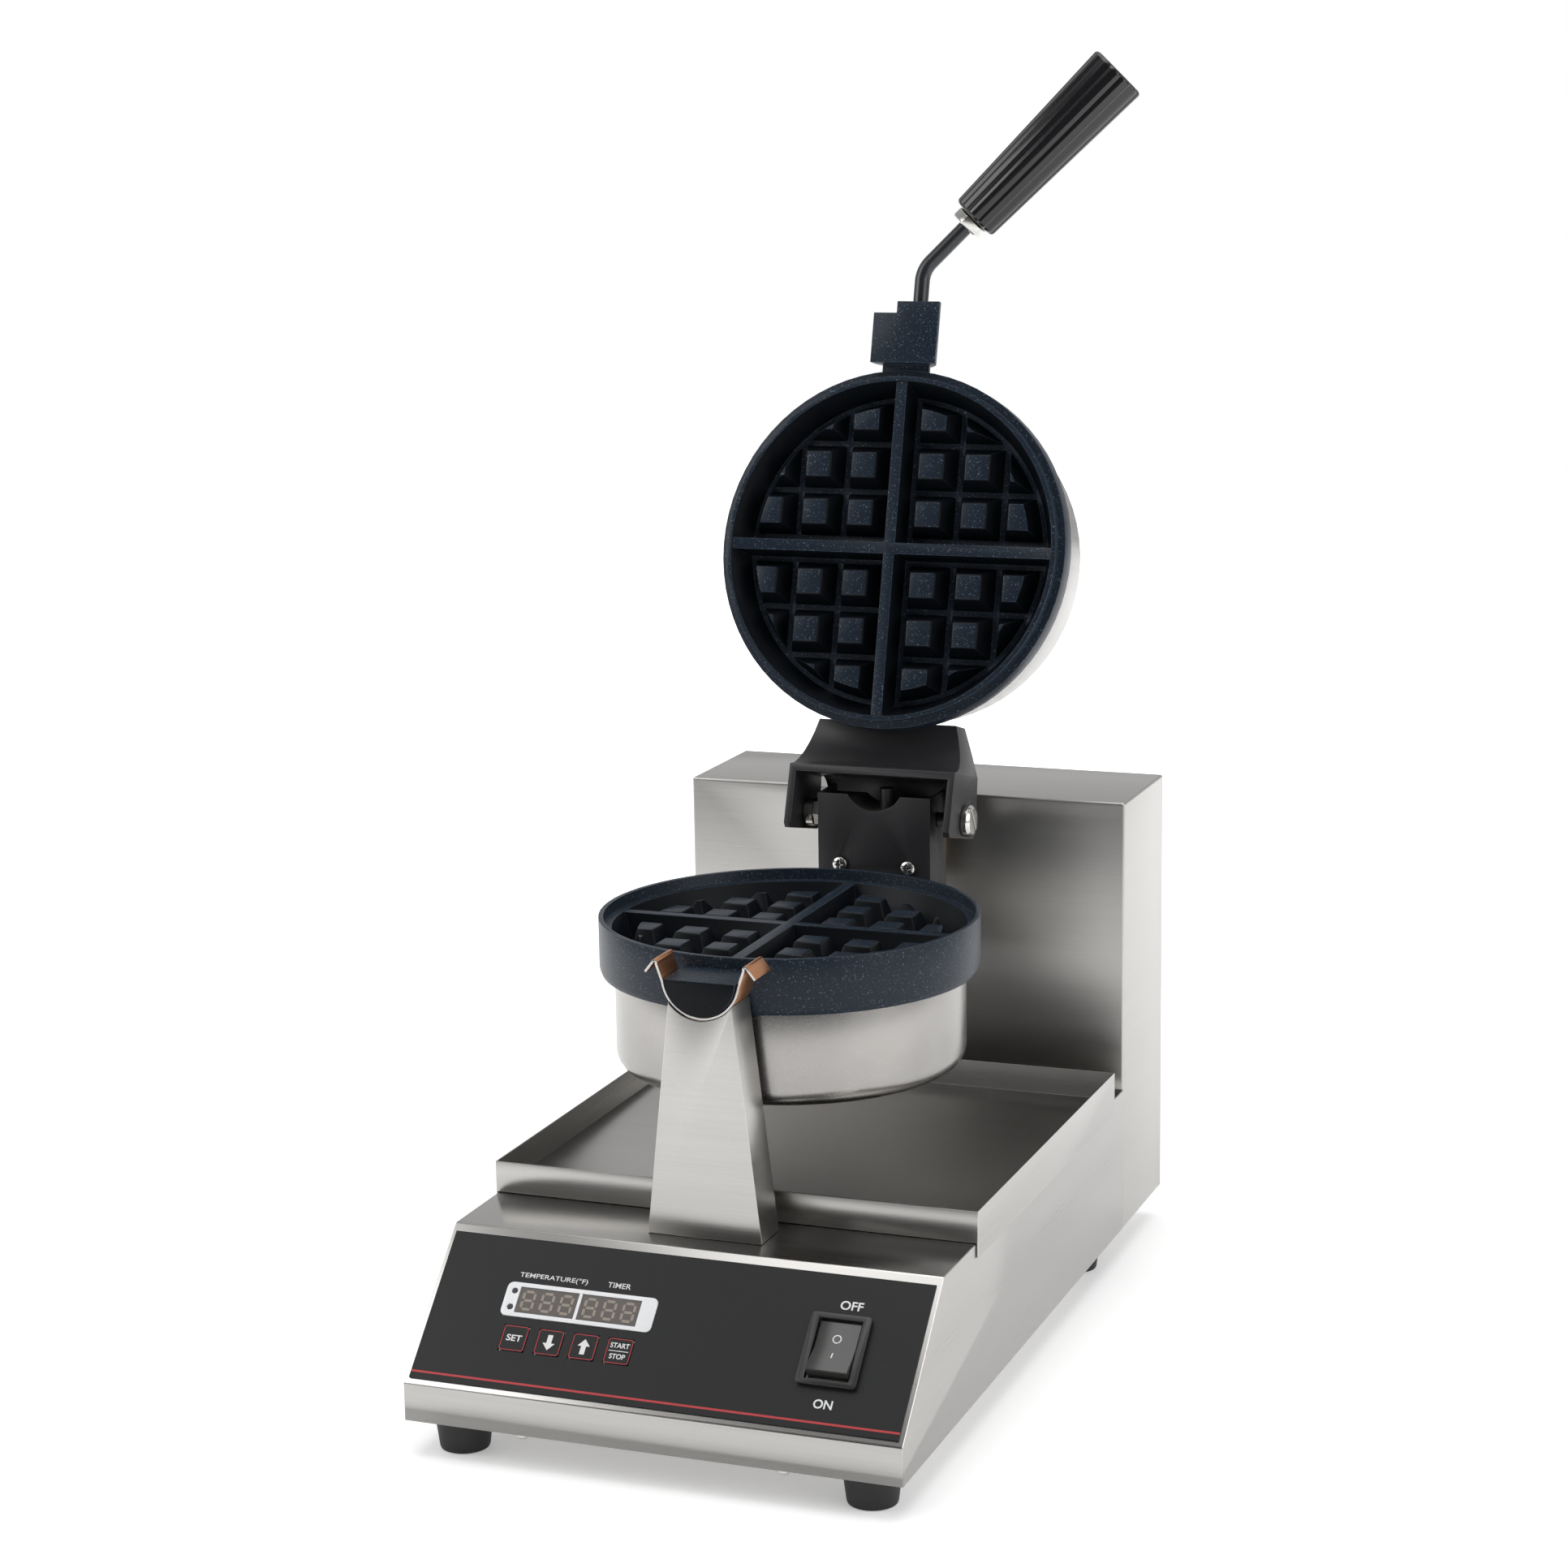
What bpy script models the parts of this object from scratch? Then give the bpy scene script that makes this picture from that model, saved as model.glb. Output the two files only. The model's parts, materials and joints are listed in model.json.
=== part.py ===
"""Single rotary waffle maker with a hinged, tilting pair of cast plates.

Frame: metres, +X to the user's right, +Y to the back, +Z up, z = 0 on the counter,
origin under the middle of the housing. The lid is stored open.
"""
import bpy
import bmesh
from math import atan2, cos, hypot, pi, radians, sin
from mathutils import Matrix, Vector

# ---------------------------------------------------------------- driving sizes
GAP = 0.0003              # clearance between touching pieces
SHEET = 0.0012            # housing sheet
BASE_W = 0.260            # housing width
BASE_H = 0.0818           # deck height above the housing's bottom edge
LIP_H = 0.0195            # upright front lip
SLOPE_D = 0.0637          # depth of the sloped panel
TOWER_D = 0.0845
TOWER_H = 0.2475

FOOT_H = 0.0185
FOOT_R = 0.015
FOOT_TIP_R = 0.0125
FOOT_INSET_SIDE = 0.0225
FOOT_INSET_FRONT = 0.021
FOOT_INSET_BACK = 0.106
FOOT_RECESS = 0.006       # screw head's recess in a foot
SCREW_R = 0.002
SCREW_HEAD_R = 0.004
SCREW_HEAD_H = 0.0022
LIP_SCREW_INSET = 0.0615  # from the housing's side
LIP_SCREW_IN = 0.006
LIP_SCREW_HEAD_H = 0.0036
PLATE_INSET = 0.0045      # housing side to the bottom plate
VENT_PITCH = 0.022
VENT_W = 0.004
VENT_L = 0.040
INLET_X = -0.07
INLET_UP = 0.045
INLET_W = 0.028
INLET_H = 0.024
INLET_FLANGE = 0.006
INLET_DEEP = 0.022

FLIP_DOWN = 0.0325        # tilt axis below the tower's top
PLATE_R = 0.0998          # outside of the lower rim
PLATE_TO_POST = 0.002
RIM_T = 0.0025
RIM_UP = 0.005            # rim top above the tilt axis
LEDGE_DOWN = 0.001        # mould edge below the tilt axis
LEDGE_W = 0.0068          # plate's outside to the mould's edge
CAVITY_DRAFT = 0.006      # how far the mould's wall leans in
CAVITY_DEPTH = 0.016
FLOOR_T = 0.004
BAND_H = 0.030            # black outer band of the lower plate
LID_BAND_H = 0.013
LID_OVER = 0.0006         # upper plate's outside beyond the lower one's
RING_T = 0.0026           # raised ring of the upper plate
RING_CLEAR = 0.0009       # raised ring inside the lower rim
COVER_IN = 0.0078         # plate's outside to the steel cover
COVER_T = 0.0008
COVER_CORNER_R = 0.009
COVER_H = 0.0798          # rim to the end of each steel cover
FLANGE_W = 0.003

DIVIDER_W = 0.0062
DIVIDER_BASE_W = 0.0104
PEG_PITCH = 0.0269
PEG_BASE = 0.0240
PEG_TOP = 0.0145
PEG_H = 0.0135
GROOVE_W = 0.0026         # flat floor strip round a quadrant

BOSS_R = 0.019            # half-round front journal
BOSS_PROUD = 0.0009       # journal's end in front of the post
BLOCK_PROUD = 0.0129      # lid block's end in front of the post
BLOCK_STEP = 0.0065
BLOCK_STEP_X = -0.0056
POST_IN = 0.0147          # top of the slope to the post
POST_D = 0.0236
POST_W = 0.0612
POST_TOP_IN = 0.0022      # journal's side to the post's side, at its top
POST_DOWN = 0.007         # post top above the journal's underside
POST_SHEET = 0.0015
CRADLE_T = 0.0012
CRADLE_CLEAR = 0.0006
CRADLE_LEG_OUT = 0.005    # leg's bend beyond the journal
CRADLE_LEG_UP = 0.008
CRADLE_LIP_OUT = 0.0055   # folded lip beyond the bend

TRAY_IN = 0.0117          # post to the tray
TRAY_BACK_CLEAR = 0.0227  # tray to the tower
TRAY_H = 0.0163
TRAY_T = 0.0008
TRAY_FLAP = 0.0078

LID_OPEN = radians(105.5)
HOUSING_W = 0.066         # hinge housing
HOUSING_IN = 0.0334       # plate to the hinge housing
HOUSING_D = 0.028
HOUSING_TO_TOWER = 0.0235
HOUSING_DROP = 0.023      # housing's lower edge below the tilt axis
HOUSING_OVER = 0.0142     # housing's top above the hinge
HINGE_IN = 0.0144         # hinge axis behind the housing's front
HINGE_RISE = 0.0253       # hinge axis above the tilt axis
NOTCH_R = 0.018
NOTCH_DEEP = 0.009
BLOCK_SHORT = 0.004       # pivot block short of the housing's top and back
BRACKET_W = 0.097
BRACKET_NECK_W = 0.081
BRACKET_T = 0.004
BRACKET_REACH = 0.021     # hinge axis to the inside of the web
BRACKET_FOOT = -0.024     # web's lower edge from the hinge axis
STUD_R = 0.004
STUD_HEAD_R = 0.009
STUD_HEAD_T = 0.005
STUD_SEAT = 0.015         # hinge bolt length inside the pivot block
SHAFT_R = 0.012
SHAFT_BORE_R = 0.007
SHAFT_IN = 0.038          # shaft length inside the tower
SHAFT_SEAT = 0.014        # shaft length inside the pivot block
BEARING_R = 0.018
BEARING_FLANGE_R = 0.024
BEARING_FLANGE_T = 0.004
BEARING_IN = 0.016
COLLAR_R = 0.020
COLLAR_T = 0.010
ARM_W = 0.052
ARM_DROP = 0.025          # arm's underside below the tilt axis
ARM_H = 0.0193
HEATER_R = 0.0035
HEATER_RING_R = 0.062
SENSOR_R = 0.0045
SENSOR_L = 0.012
HINGE_NUT_AF = 0.013
HINGE_NUT_T = 0.0058
WASHER_R = 0.008
FACE_SCREW_R = 0.0019
FACE_SCREW_HEAD_R = 0.0045
FACE_SCREW_X = 0.020
FACE_SCREW_DROP = 0.0005
SLEEVE_R = 0.0042
SLEEVE_X = 0.004
SLEEVE_FOOT = 0.0025      # sleeve's ends above the hinge axis
SLEEVE_TOP = 0.0165

ROD_R = 0.0043
ROD_X = 0.005
ROD_RISE = 0.008          # rod axis above the tilt axis, lid shut
ROD_SEAT = 0.028          # rod length inside the lid's block
ROD_BEND = radians(43.3)
ROD_OUT = 0.0193          # block's end to the bend's corner
ROD_BEND_R = 0.016
NUT_AF = 0.017
NUT_T = 0.0063
NUT_AT = 0.0335           # bend corner to the nut
GRIP_L = 0.1124
GRIP_R = 0.0138
GRIP_TIP_R = 0.0171
GRIP_EDGE = 0.0016
GRIP_BORE_D = 0.045

FILM_T = 0.0006           # control overlay
FILM_MARGIN = 0.0025
FILM_LOW = 0.003
FILM_TOP_MARGIN = 0.0051
DISPLAY_X = -0.0499
DISPLAY_UP = 0.0507
DISPLAY_W = 0.0807
DISPLAY_H = 0.0182
DISPLAY_T = 0.0012
WINDOW_W = 0.0318
WINDOW_H = 0.0140
TEMPERATURE_X = -0.0672
TIMER_X = -0.0338
LED_X = -0.0858
LED_R = 0.0013
LED_STEP = 0.0088
KEY_W = 0.0134
KEY_T = 0.0005
KEY_UP = 0.0300
KEY_XS = {"key_set": -0.0787, "key_down": -0.0598, "key_up": -0.0413, "key_start_stop": -0.0227}
SWITCH_X = 0.0857
SWITCH_UP = 0.0436
SWITCH_W = 0.0305
SWITCH_L = 0.0375
SWITCH_T = 0.0022
ROCKER_W = 0.0215
ROCKER_L = 0.0285
ROCKER_AXIS_DEEP = 0.002
ROCKER_TILT = radians(10)
BOARD_W = 0.160
BOARD_L = 0.052
BOARD_T = 0.0016
BOARD_DEEP = 0.016        # control board below the slope

# ---------------------------------------------------------------- worked-out sizes
# Distances back from the front lip.
POST_FRONT = SLOPE_D + POST_IN
BOSS_FRONT = POST_FRONT - BOSS_PROUD
BLOCK_FRONT = POST_FRONT - BLOCK_PROUD
ROD_CORNER = BLOCK_FRONT - ROD_OUT
PLATE_BACK = POST_FRONT + POST_D + PLATE_TO_POST + PLATE_R
HOUSING_FRONT = PLATE_BACK + PLATE_R + HOUSING_IN
HINGE_BACK = HOUSING_FRONT + HINGE_IN
BASE_D = HOUSING_FRONT + HOUSING_D + HOUSING_TO_TOWER
TRAY_FRONT = POST_FRONT + POST_D + TRAY_IN
TRAY_D = BASE_D - TRAY_FRONT - TRAY_BACK_CLEAR
# Heights above the housing's bottom edge.
FLIP_UP = TOWER_H - FLIP_DOWN
HINGE_UP = FLIP_UP + HINGE_RISE
HOUSING_TOP = HINGE_UP + HOUSING_OVER
HOUSING_BOTTOM = FLIP_UP - HOUSING_DROP
FACE_SCREW_UP = FLIP_UP - FACE_SCREW_DROP
POST_UP = FLIP_UP - BOSS_R + POST_DOWN
# Round sizes and widths.
CAVITY_R = PLATE_R - LEDGE_W
CAVITY_FLOOR_R = CAVITY_R - CAVITY_DRAFT
LID_R = PLATE_R + LID_OVER
COVER_R = PLATE_R - COVER_IN
POST_TOP_W = 2 * (BOSS_R - POST_TOP_IN)
CRADLE_R = BOSS_R + CRADLE_CLEAR
CRADLE_LEG_X = BOSS_R + CRADLE_LEG_OUT
CRADLE_LIP_X = CRADLE_LEG_X + CRADLE_LIP_OUT
FOOT_X = BASE_W / 2 - FOOT_INSET_SIDE
LIP_SCREW_X = BASE_W / 2 - LIP_SCREW_INSET
SLOPE_ANGLE = atan2(BASE_H - LIP_H, SLOPE_D)
FILM_HIGH = hypot(BASE_H - LIP_H, SLOPE_D) - FILM_TOP_MARGIN
# Places in the frame.
FRONT_Y = -(BASE_D + TOWER_D) / 2
TOWER_Y = FRONT_Y + BASE_D
BACK_Y = TOWER_Y + TOWER_D
BOTTOM_Z = FOOT_H
DECK_Z = BOTTOM_Z + BASE_H
TOWER_Z = BOTTOM_Z + TOWER_H
PLATE_Y = FRONT_Y + PLATE_BACK
FLIP_Z = BOTTOM_Z + FLIP_UP
HINGE_Y = FRONT_Y + HINGE_BACK
HINGE_Z = BOTTOM_Z + HINGE_UP
FLOOR_Z = BOTTOM_Z + GAP
INLET_Z = BOTTOM_Z + INLET_UP

COLLECTIONS = {}


# ---------------------------------------------------------------- helpers
def clear_scene():
    for item in list(bpy.data.objects):
        bpy.data.objects.remove(item, do_unlink=True)


def make_collection(key, name):
    group = bpy.data.collections.new(name)
    bpy.context.scene.collection.children.link(group)
    COLLECTIONS[key] = group


def material(name, color, roughness, metallic):
    made = bpy.data.materials.get(name)
    if made is None:
        made = bpy.data.materials.new(name)
        made.use_nodes = True
        shader = made.node_tree.nodes["Principled BSDF"]
        shader.inputs["Base Color"].default_value = (*color, 1)
        shader.inputs["Roughness"].default_value = roughness
        shader.inputs["Metallic"].default_value = metallic
    return made


def steel():
    return material("brushed_steel", (0.56, 0.55, 0.53), 0.32, 1.0)


def coating():
    return material("nonstick_coating", (0.018, 0.024, 0.034), 0.42, 0.0)


def black_paint():
    return material("black_paint", (0.02, 0.021, 0.024), 0.45, 0.0)


def bright_zinc():
    return material("zinc_plate", (0.72, 0.71, 0.68), 0.25, 1.0)


def black_plastic():
    return material("black_plastic", (0.012, 0.012, 0.013), 0.3, 0.0)


def charcoal_film():
    return material("charcoal_film", (0.045, 0.046, 0.047), 0.4, 0.0)


def white_plastic():
    return material("white_plastic", (0.8, 0.8, 0.78), 0.4, 0.0)


def rubber():
    return material("black_rubber", (0.015, 0.015, 0.015), 0.8, 0.0)


def circuit():
    return material("circuit_board", (0.02, 0.12, 0.05), 0.5, 0.0)


def display_glass():
    return material("display_glass", (0.02, 0.004, 0.004), 0.15, 0.0)


def lamp():
    return material("lamp_red", (0.5, 0.02, 0.02), 0.3, 0.0)


def copper_liner():
    return material("copper_liner", (0.42, 0.22, 0.12), 0.35, 1.0)


def heater_metal():
    return material("heater_sheath", (0.3, 0.29, 0.27), 0.45, 1.0)


def bronze():
    return material("bronze", (0.5, 0.33, 0.15), 0.35, 1.0)


def add_object(name, mesh, key="part"):
    made = bpy.data.objects.new(name, mesh)
    COLLECTIONS[key].objects.link(made)
    if key == "cutters":
        made.hide_render = True
        made.display_type = 'WIRE'
    return made


def mesh_from(name, bm):
    mesh = bpy.data.meshes.new(name)
    bmesh.ops.recalc_face_normals(bm, faces=bm.faces)
    bm.to_mesh(mesh)
    bm.free()
    return mesh


def box(name, low, high, key="part"):
    """A block between two corners, with its origin at its middle."""
    low, high = Vector(low), Vector(high)
    bm = bmesh.new()
    bmesh.ops.create_cube(bm, size=1)
    bmesh.ops.scale(bm, vec=high - low, verts=bm.verts)
    made = add_object(name, mesh_from(name, bm), key)
    made.location = (low + high) / 2
    return made


def cylinder(name, radius, length, centre, axis="Z", key="part", segments=32, radius2=None):
    """A rod or cone centred on a point, along X, Y or Z."""
    bm = bmesh.new()
    bmesh.ops.create_cone(bm, cap_ends=True, segments=segments, radius1=radius,
                          radius2=radius if radius2 is None else radius2, depth=length)
    if axis == "X":
        bmesh.ops.rotate(bm, verts=bm.verts, matrix=Matrix.Rotation(pi / 2, 3, 'Y'))
    if axis == "Y":
        bmesh.ops.rotate(bm, verts=bm.verts, matrix=Matrix.Rotation(-pi / 2, 3, 'X'))
    made = add_object(name, mesh_from(name, bm), key)
    made.location = centre
    return made


def outline(name, points, low, high, axis="X", key="part"):
    """A closed flat outline pushed from low to high along an axis.

    The points are (y, z) for axis X, (x, z) for axis Y and (x, y) for axis Z.
    """
    def place(a, b, c):
        return {"X": (c, a, b), "Y": (a, c, b), "Z": (a, b, c)}[axis]
    bm = bmesh.new()
    face = bm.faces.new([bm.verts.new(place(a, b, low)) for a, b in points])
    pushed = bmesh.ops.extrude_face_region(bm, geom=[face])
    verts = [item for item in pushed["geom"] if isinstance(item, bmesh.types.BMVert)]
    bmesh.ops.translate(bm, verts=verts, vec=place(0, 0, high - low))
    return add_object(name, mesh_from(name, bm), key)


def arc(centre, radius, start, end, steps):
    """Points on a circle, angles in degrees from the first axis."""
    turns = [radians(start + (end - start) * i / steps) for i in range(steps + 1)]
    return [(centre[0] + radius * cos(t), centre[1] + radius * sin(t)) for t in turns]


def rounded(width, height, radius, steps=4):
    """A rounded rectangle about the origin."""
    x, y = width / 2 - radius, height / 2 - radius
    corners = [(x, y, 0), (-x, y, 90), (-x, -y, 180), (x, -y, 270)]
    points = []
    for cx, cy, start in corners:
        points += arc((cx, cy), radius, start, start + 90, steps)
    return points


def turned(name, profile, steps=64, key="part"):
    """A closed (radius, height) profile turned about Z with a Screw modifier."""
    bm = bmesh.new()
    verts = [bm.verts.new((r, 0, z)) for r, z in profile]
    closed = profile[0][0] > 0 or profile[-1][0] > 0
    for first, second in zip(verts, verts[1:]):
        bm.edges.new((first, second))
    if closed:
        bm.edges.new((verts[-1], verts[0]))
    mesh = bpy.data.meshes.new(name)
    bm.to_mesh(mesh)
    bm.free()
    made = add_object(name, mesh, key)
    screw = made.modifiers.new("turn", 'SCREW')
    screw.steps = steps
    screw.render_steps = steps
    screw.use_merge_vertices = True
    screw.merge_threshold = 0.00001
    screw.use_normal_calculate = True
    return made


def bake(made):
    """Turn an object's curve or modifiers into a plain outward-facing mesh."""
    graph = bpy.context.evaluated_depsgraph_get()
    graph.update()
    mesh = bpy.data.meshes.new_from_object(made.evaluated_get(graph))
    bm = bmesh.new()
    bm.from_mesh(mesh)
    bmesh.ops.remove_doubles(bm, verts=bm.verts, dist=0.000005)
    bmesh.ops.recalc_face_normals(bm, faces=bm.faces)
    bm.to_mesh(mesh)
    bm.free()
    name = made.name
    place = made.matrix_world.copy()
    groups = list(made.users_collection)
    hidden = made.hide_render
    bpy.data.objects.remove(made, do_unlink=True)
    fresh = bpy.data.objects.new(name, mesh)
    for group in groups:
        group.objects.link(fresh)
    fresh.matrix_world = place
    fresh.hide_render = hidden
    if hidden:
        fresh.display_type = 'WIRE'
    return fresh


def rod(name, points, radius, cyclic=False, resolution=3, key="part"):
    """A round bar along a path of points, with filled ends."""
    curve = bpy.data.curves.new(name, 'CURVE')
    curve.dimensions = '3D'
    curve.bevel_depth = radius
    curve.bevel_resolution = resolution
    curve.use_fill_caps = True
    spline = curve.splines.new('POLY')
    spline.points.add(len(points) - 1)
    for point, place in zip(spline.points, points):
        point.co = (*place, 1)
    spline.use_cyclic_u = cyclic
    return bake(add_object(name, curve, key))


def combine(target, other, kind):
    """Add a Boolean to the target; the other piece goes with the cutters."""
    for group in list(other.users_collection):
        group.objects.unlink(other)
    COLLECTIONS["cutters"].objects.link(other)
    other.hide_render = True
    other.display_type = 'WIRE'
    step = target.modifiers.new(kind.lower(), 'BOOLEAN')
    step.object = other
    step.operation = kind
    step.solver = 'EXACT'


def cut(target, *others):
    for other in others:
        combine(target, other, 'DIFFERENCE')


def join(target, *others):
    for other in others:
        combine(target, other, 'UNION')


def thicken(made, thickness, offset=-1):
    step = made.modifiers.new("sheet", 'SOLIDIFY')
    step.thickness = thickness
    step.offset = offset
    step.use_even_offset = True


def dress(made, finish, smooth_angle=35):
    made.data.materials.clear()
    made.data.materials.append(finish)
    for face in made.data.polygons:
        face.use_smooth = True
    made.data.set_sharp_from_angle(angle=radians(smooth_angle))
    return made


def pivot(name, place):
    """An empty on a joint's axis."""
    made = bpy.data.objects.new(name, None)
    made.empty_display_size = 0.02
    COLLECTIONS["part"].objects.link(made)
    made.location = place
    bpy.context.view_layer.update()
    return made


def carry(parent, pieces):
    """Parent pieces modelled in world places to a pivot, keeping those places."""
    bpy.context.view_layer.update()
    for piece in pieces:
        piece.parent = parent
        piece.matrix_parent_inverse = parent.matrix_world.inverted()


# ---------------------------------------------------------------- sloped panel places
def on_slope(x, up, out):
    """World place of a point on the control slope: across, up the slope, out of it."""
    along = Vector((0, cos(SLOPE_ANGLE), sin(SLOPE_ANGLE)))
    normal = Vector((0, -sin(SLOPE_ANGLE), cos(SLOPE_ANGLE)))
    return Vector((x, FRONT_Y, BOTTOM_Z + LIP_H)) + along * up + normal * out


def lay_on_slope(made, x, up, out):
    """Place a piece modelled flat, with +Z outward and +Y up the slope."""
    made.location = on_slope(x, up, out)
    made.rotation_euler = (SLOPE_ANGLE, 0, 0)
    return made


# ---------------------------------------------------------------- housing
def base_profile():
    """(y, z) side outline of the low housing, clear of the tower's front."""
    back = TOWER_Y - GAP
    return [(FRONT_Y, BOTTOM_Z), (FRONT_Y, BOTTOM_Z + LIP_H), (FRONT_Y + SLOPE_D, DECK_Z),
            (back, DECK_Z), (back, BOTTOM_Z)]


def drop_faces(made, facing):
    """Remove the faces of a mesh that look along the given directions."""
    bm = bmesh.new()
    bm.from_mesh(made.data)
    bm.normal_update()
    gone = [face for face in bm.faces if any(face.normal.dot(Vector(way)) > 0.999 for way in facing)]
    bmesh.ops.delete(bm, geom=gone, context='FACES')
    bm.to_mesh(made.data)
    bm.free()


def base_housing():
    made = outline("base_housing", base_profile(), -BASE_W / 2, BASE_W / 2)
    drop_faces(made, [(0, 0, -1), (0, 1, 0)])
    thicken(made, SHEET)
    window = box("display_cut", (-DISPLAY_W / 2 + 0.006, -WINDOW_H / 2 - 0.001, -0.01),
                 (DISPLAY_W / 2 - 0.001, WINDOW_H / 2 + 0.001, 0.01), "cutters")
    lay_on_slope(window, DISPLAY_X, DISPLAY_UP, 0)
    switch = box("switch_cut", (-ROCKER_W / 2 - 0.0025, -ROCKER_L / 2 - 0.0035, -0.01),
                 (ROCKER_W / 2 + 0.0025, ROCKER_L / 2 + 0.0035, 0.01), "cutters")
    lay_on_slope(switch, SWITCH_X, SWITCH_UP, 0)
    cut(made, window, switch)
    return dress(made, steel())


def tower_housing():
    made = box("tower_housing", (-BASE_W / 2, TOWER_Y, BOTTOM_Z), (BASE_W / 2, BACK_Y, TOWER_Z))
    drop_faces(made, [(0, 0, -1)])
    thicken(made, SHEET)
    shaft = cylinder("shaft_cut", BEARING_R + GAP, 0.02, (0, TOWER_Y, FLIP_Z), "Y", "cutters", 48)
    half = BASE_W / 2 - PLATE_INSET + 2 * GAP
    wires = box("wire_cut", (-half, TOWER_Y - 0.01, BOTTOM_Z - 0.01), (half, TOWER_Y + 0.01, DECK_Z - 0.015),
                "cutters")
    inlet = box("inlet_cut", (INLET_X - INLET_W / 2 - GAP, BACK_Y - 0.01, INLET_Z - INLET_H / 2 - GAP),
                (INLET_X + INLET_W / 2 + GAP, BACK_Y + 0.01, INLET_Z + INLET_H / 2 + GAP), "cutters")
    cut(made, shaft, wires, inlet)
    return dress(made, steel())


def foot_places():
    front = FRONT_Y + FOOT_INSET_FRONT
    back = BACK_Y - FOOT_INSET_BACK
    return {"front_left": (-FOOT_X, front), "front_right": (FOOT_X, front),
            "rear_left": (-FOOT_X, back), "rear_right": (FOOT_X, back)}


def bottom_plate():
    edge = SHEET + GAP
    half = BASE_W / 2 - PLATE_INSET
    made = box("bottom_plate", (-half, FRONT_Y + edge, FLOOR_Z), (half, BACK_Y - edge, FLOOR_Z + SHEET))
    cuts = []
    for x, y in foot_places().values():
        cuts.append(cylinder("foot_hole", SCREW_R + GAP, 0.01, (x, y, FLOOR_Z), "Z", "cutters", 16))
    for side in (-1, 1):
        place = (side * LIP_SCREW_X, FRONT_Y + LIP_SCREW_IN, FLOOR_Z)
        cuts.append(cylinder("lip_hole", SCREW_R + GAP, 0.01, place, "Z", "cutters", 16))
    for row in range(2):
        for column in range(6):
            x = (column - 2.5) * VENT_PITCH
            y = FRONT_Y + (1 + row) * BASE_D / 3
            cuts.append(box("vent_cut", (x - VENT_W / 2, y - VENT_L / 2, FLOOR_Z - 0.005),
                            (x + VENT_W / 2, y + VENT_L / 2, FLOOR_Z + 0.005), "cutters"))
    cut(made, *cuts)
    return dress(made, steel())


def screw(name, centre, head_r, head_h, shank_r, shank_l, finish):
    """A pan-head screw: head below z = 0 of its own frame, shank up from it."""
    profile = [(0, -head_h), (head_r * 0.55, -head_h), (head_r * 0.9, -head_h * 0.6), (head_r, 0),
               (shank_r, 0), (shank_r, shank_l), (0, shank_l)]
    made = bake(turned(name, profile, 14))
    made.location = centre
    return dress(made, finish)


def feet():
    made = []
    for key, (x, y) in foot_places().items():
        edge = 0.0012
        recess_r = SCREW_HEAD_R + 0.001
        profile = [(SCREW_R + GAP, FOOT_H), (FOOT_R, FOOT_H), (FOOT_TIP_R, edge), (FOOT_TIP_R - edge, 0),
                   (recess_r, 0), (recess_r, FOOT_RECESS), (SCREW_R + GAP, FOOT_RECESS)]
        foot = bake(turned("foot_" + key, profile, 24))
        foot.location = (x, y, 0)
        made.append(dress(foot, rubber()))
        made.append(screw("foot_screw_" + key, (x, y, FOOT_RECESS - GAP), SCREW_HEAD_R, SCREW_HEAD_H,
                          SCREW_R, FOOT_H, bright_zinc()))
    for side, word in ((-1, "left"), (1, "right")):
        place = (side * LIP_SCREW_X, FRONT_Y + LIP_SCREW_IN, FLOOR_Z - GAP)
        made.append(screw("lip_screw_" + word, place, SCREW_HEAD_R, LIP_SCREW_HEAD_H, SCREW_R, 0.005,
                          bright_zinc()))
    return made


# ---------------------------------------------------------------- control panel
def control_overlay():
    width = BASE_W - 2 * FILM_MARGIN
    made = box("control_overlay", (-width / 2, FILM_LOW, 0), (width / 2, FILM_HIGH, FILM_T))
    shift = Vector((0, (FILM_LOW + FILM_HIGH) / 2, FILM_T / 2))
    made.rotation_euler = (SLOPE_ANGLE, 0, 0)
    made.location = on_slope(shift.x, shift.y, GAP + shift.z)
    cuts = []
    for name, x in KEY_XS.items():
        half = KEY_W / 2 + GAP
        hole = box("key_cut", (-half, -half, -0.003), (half, half, 0.003), "cutters")
        cuts.append(lay_on_slope(hole, x, KEY_UP, GAP))
    hole = outline("bezel_cut", rounded(DISPLAY_W + 2 * GAP, DISPLAY_H + 2 * GAP, 0.0033), -0.003, 0.003,
                   "Z", "cutters")
    cuts.append(lay_on_slope(hole, DISPLAY_X, DISPLAY_UP, GAP))
    hole = box("switch_film_cut", (-SWITCH_W / 2 + 0.002, -SWITCH_L / 2 + 0.0015, -0.003),
               (SWITCH_W / 2 - 0.002, SWITCH_L / 2 - 0.0015, 0.003), "cutters")
    cuts.append(lay_on_slope(hole, SWITCH_X, SWITCH_UP, GAP))
    cut(made, *cuts)
    return dress(made, charcoal_film())


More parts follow.
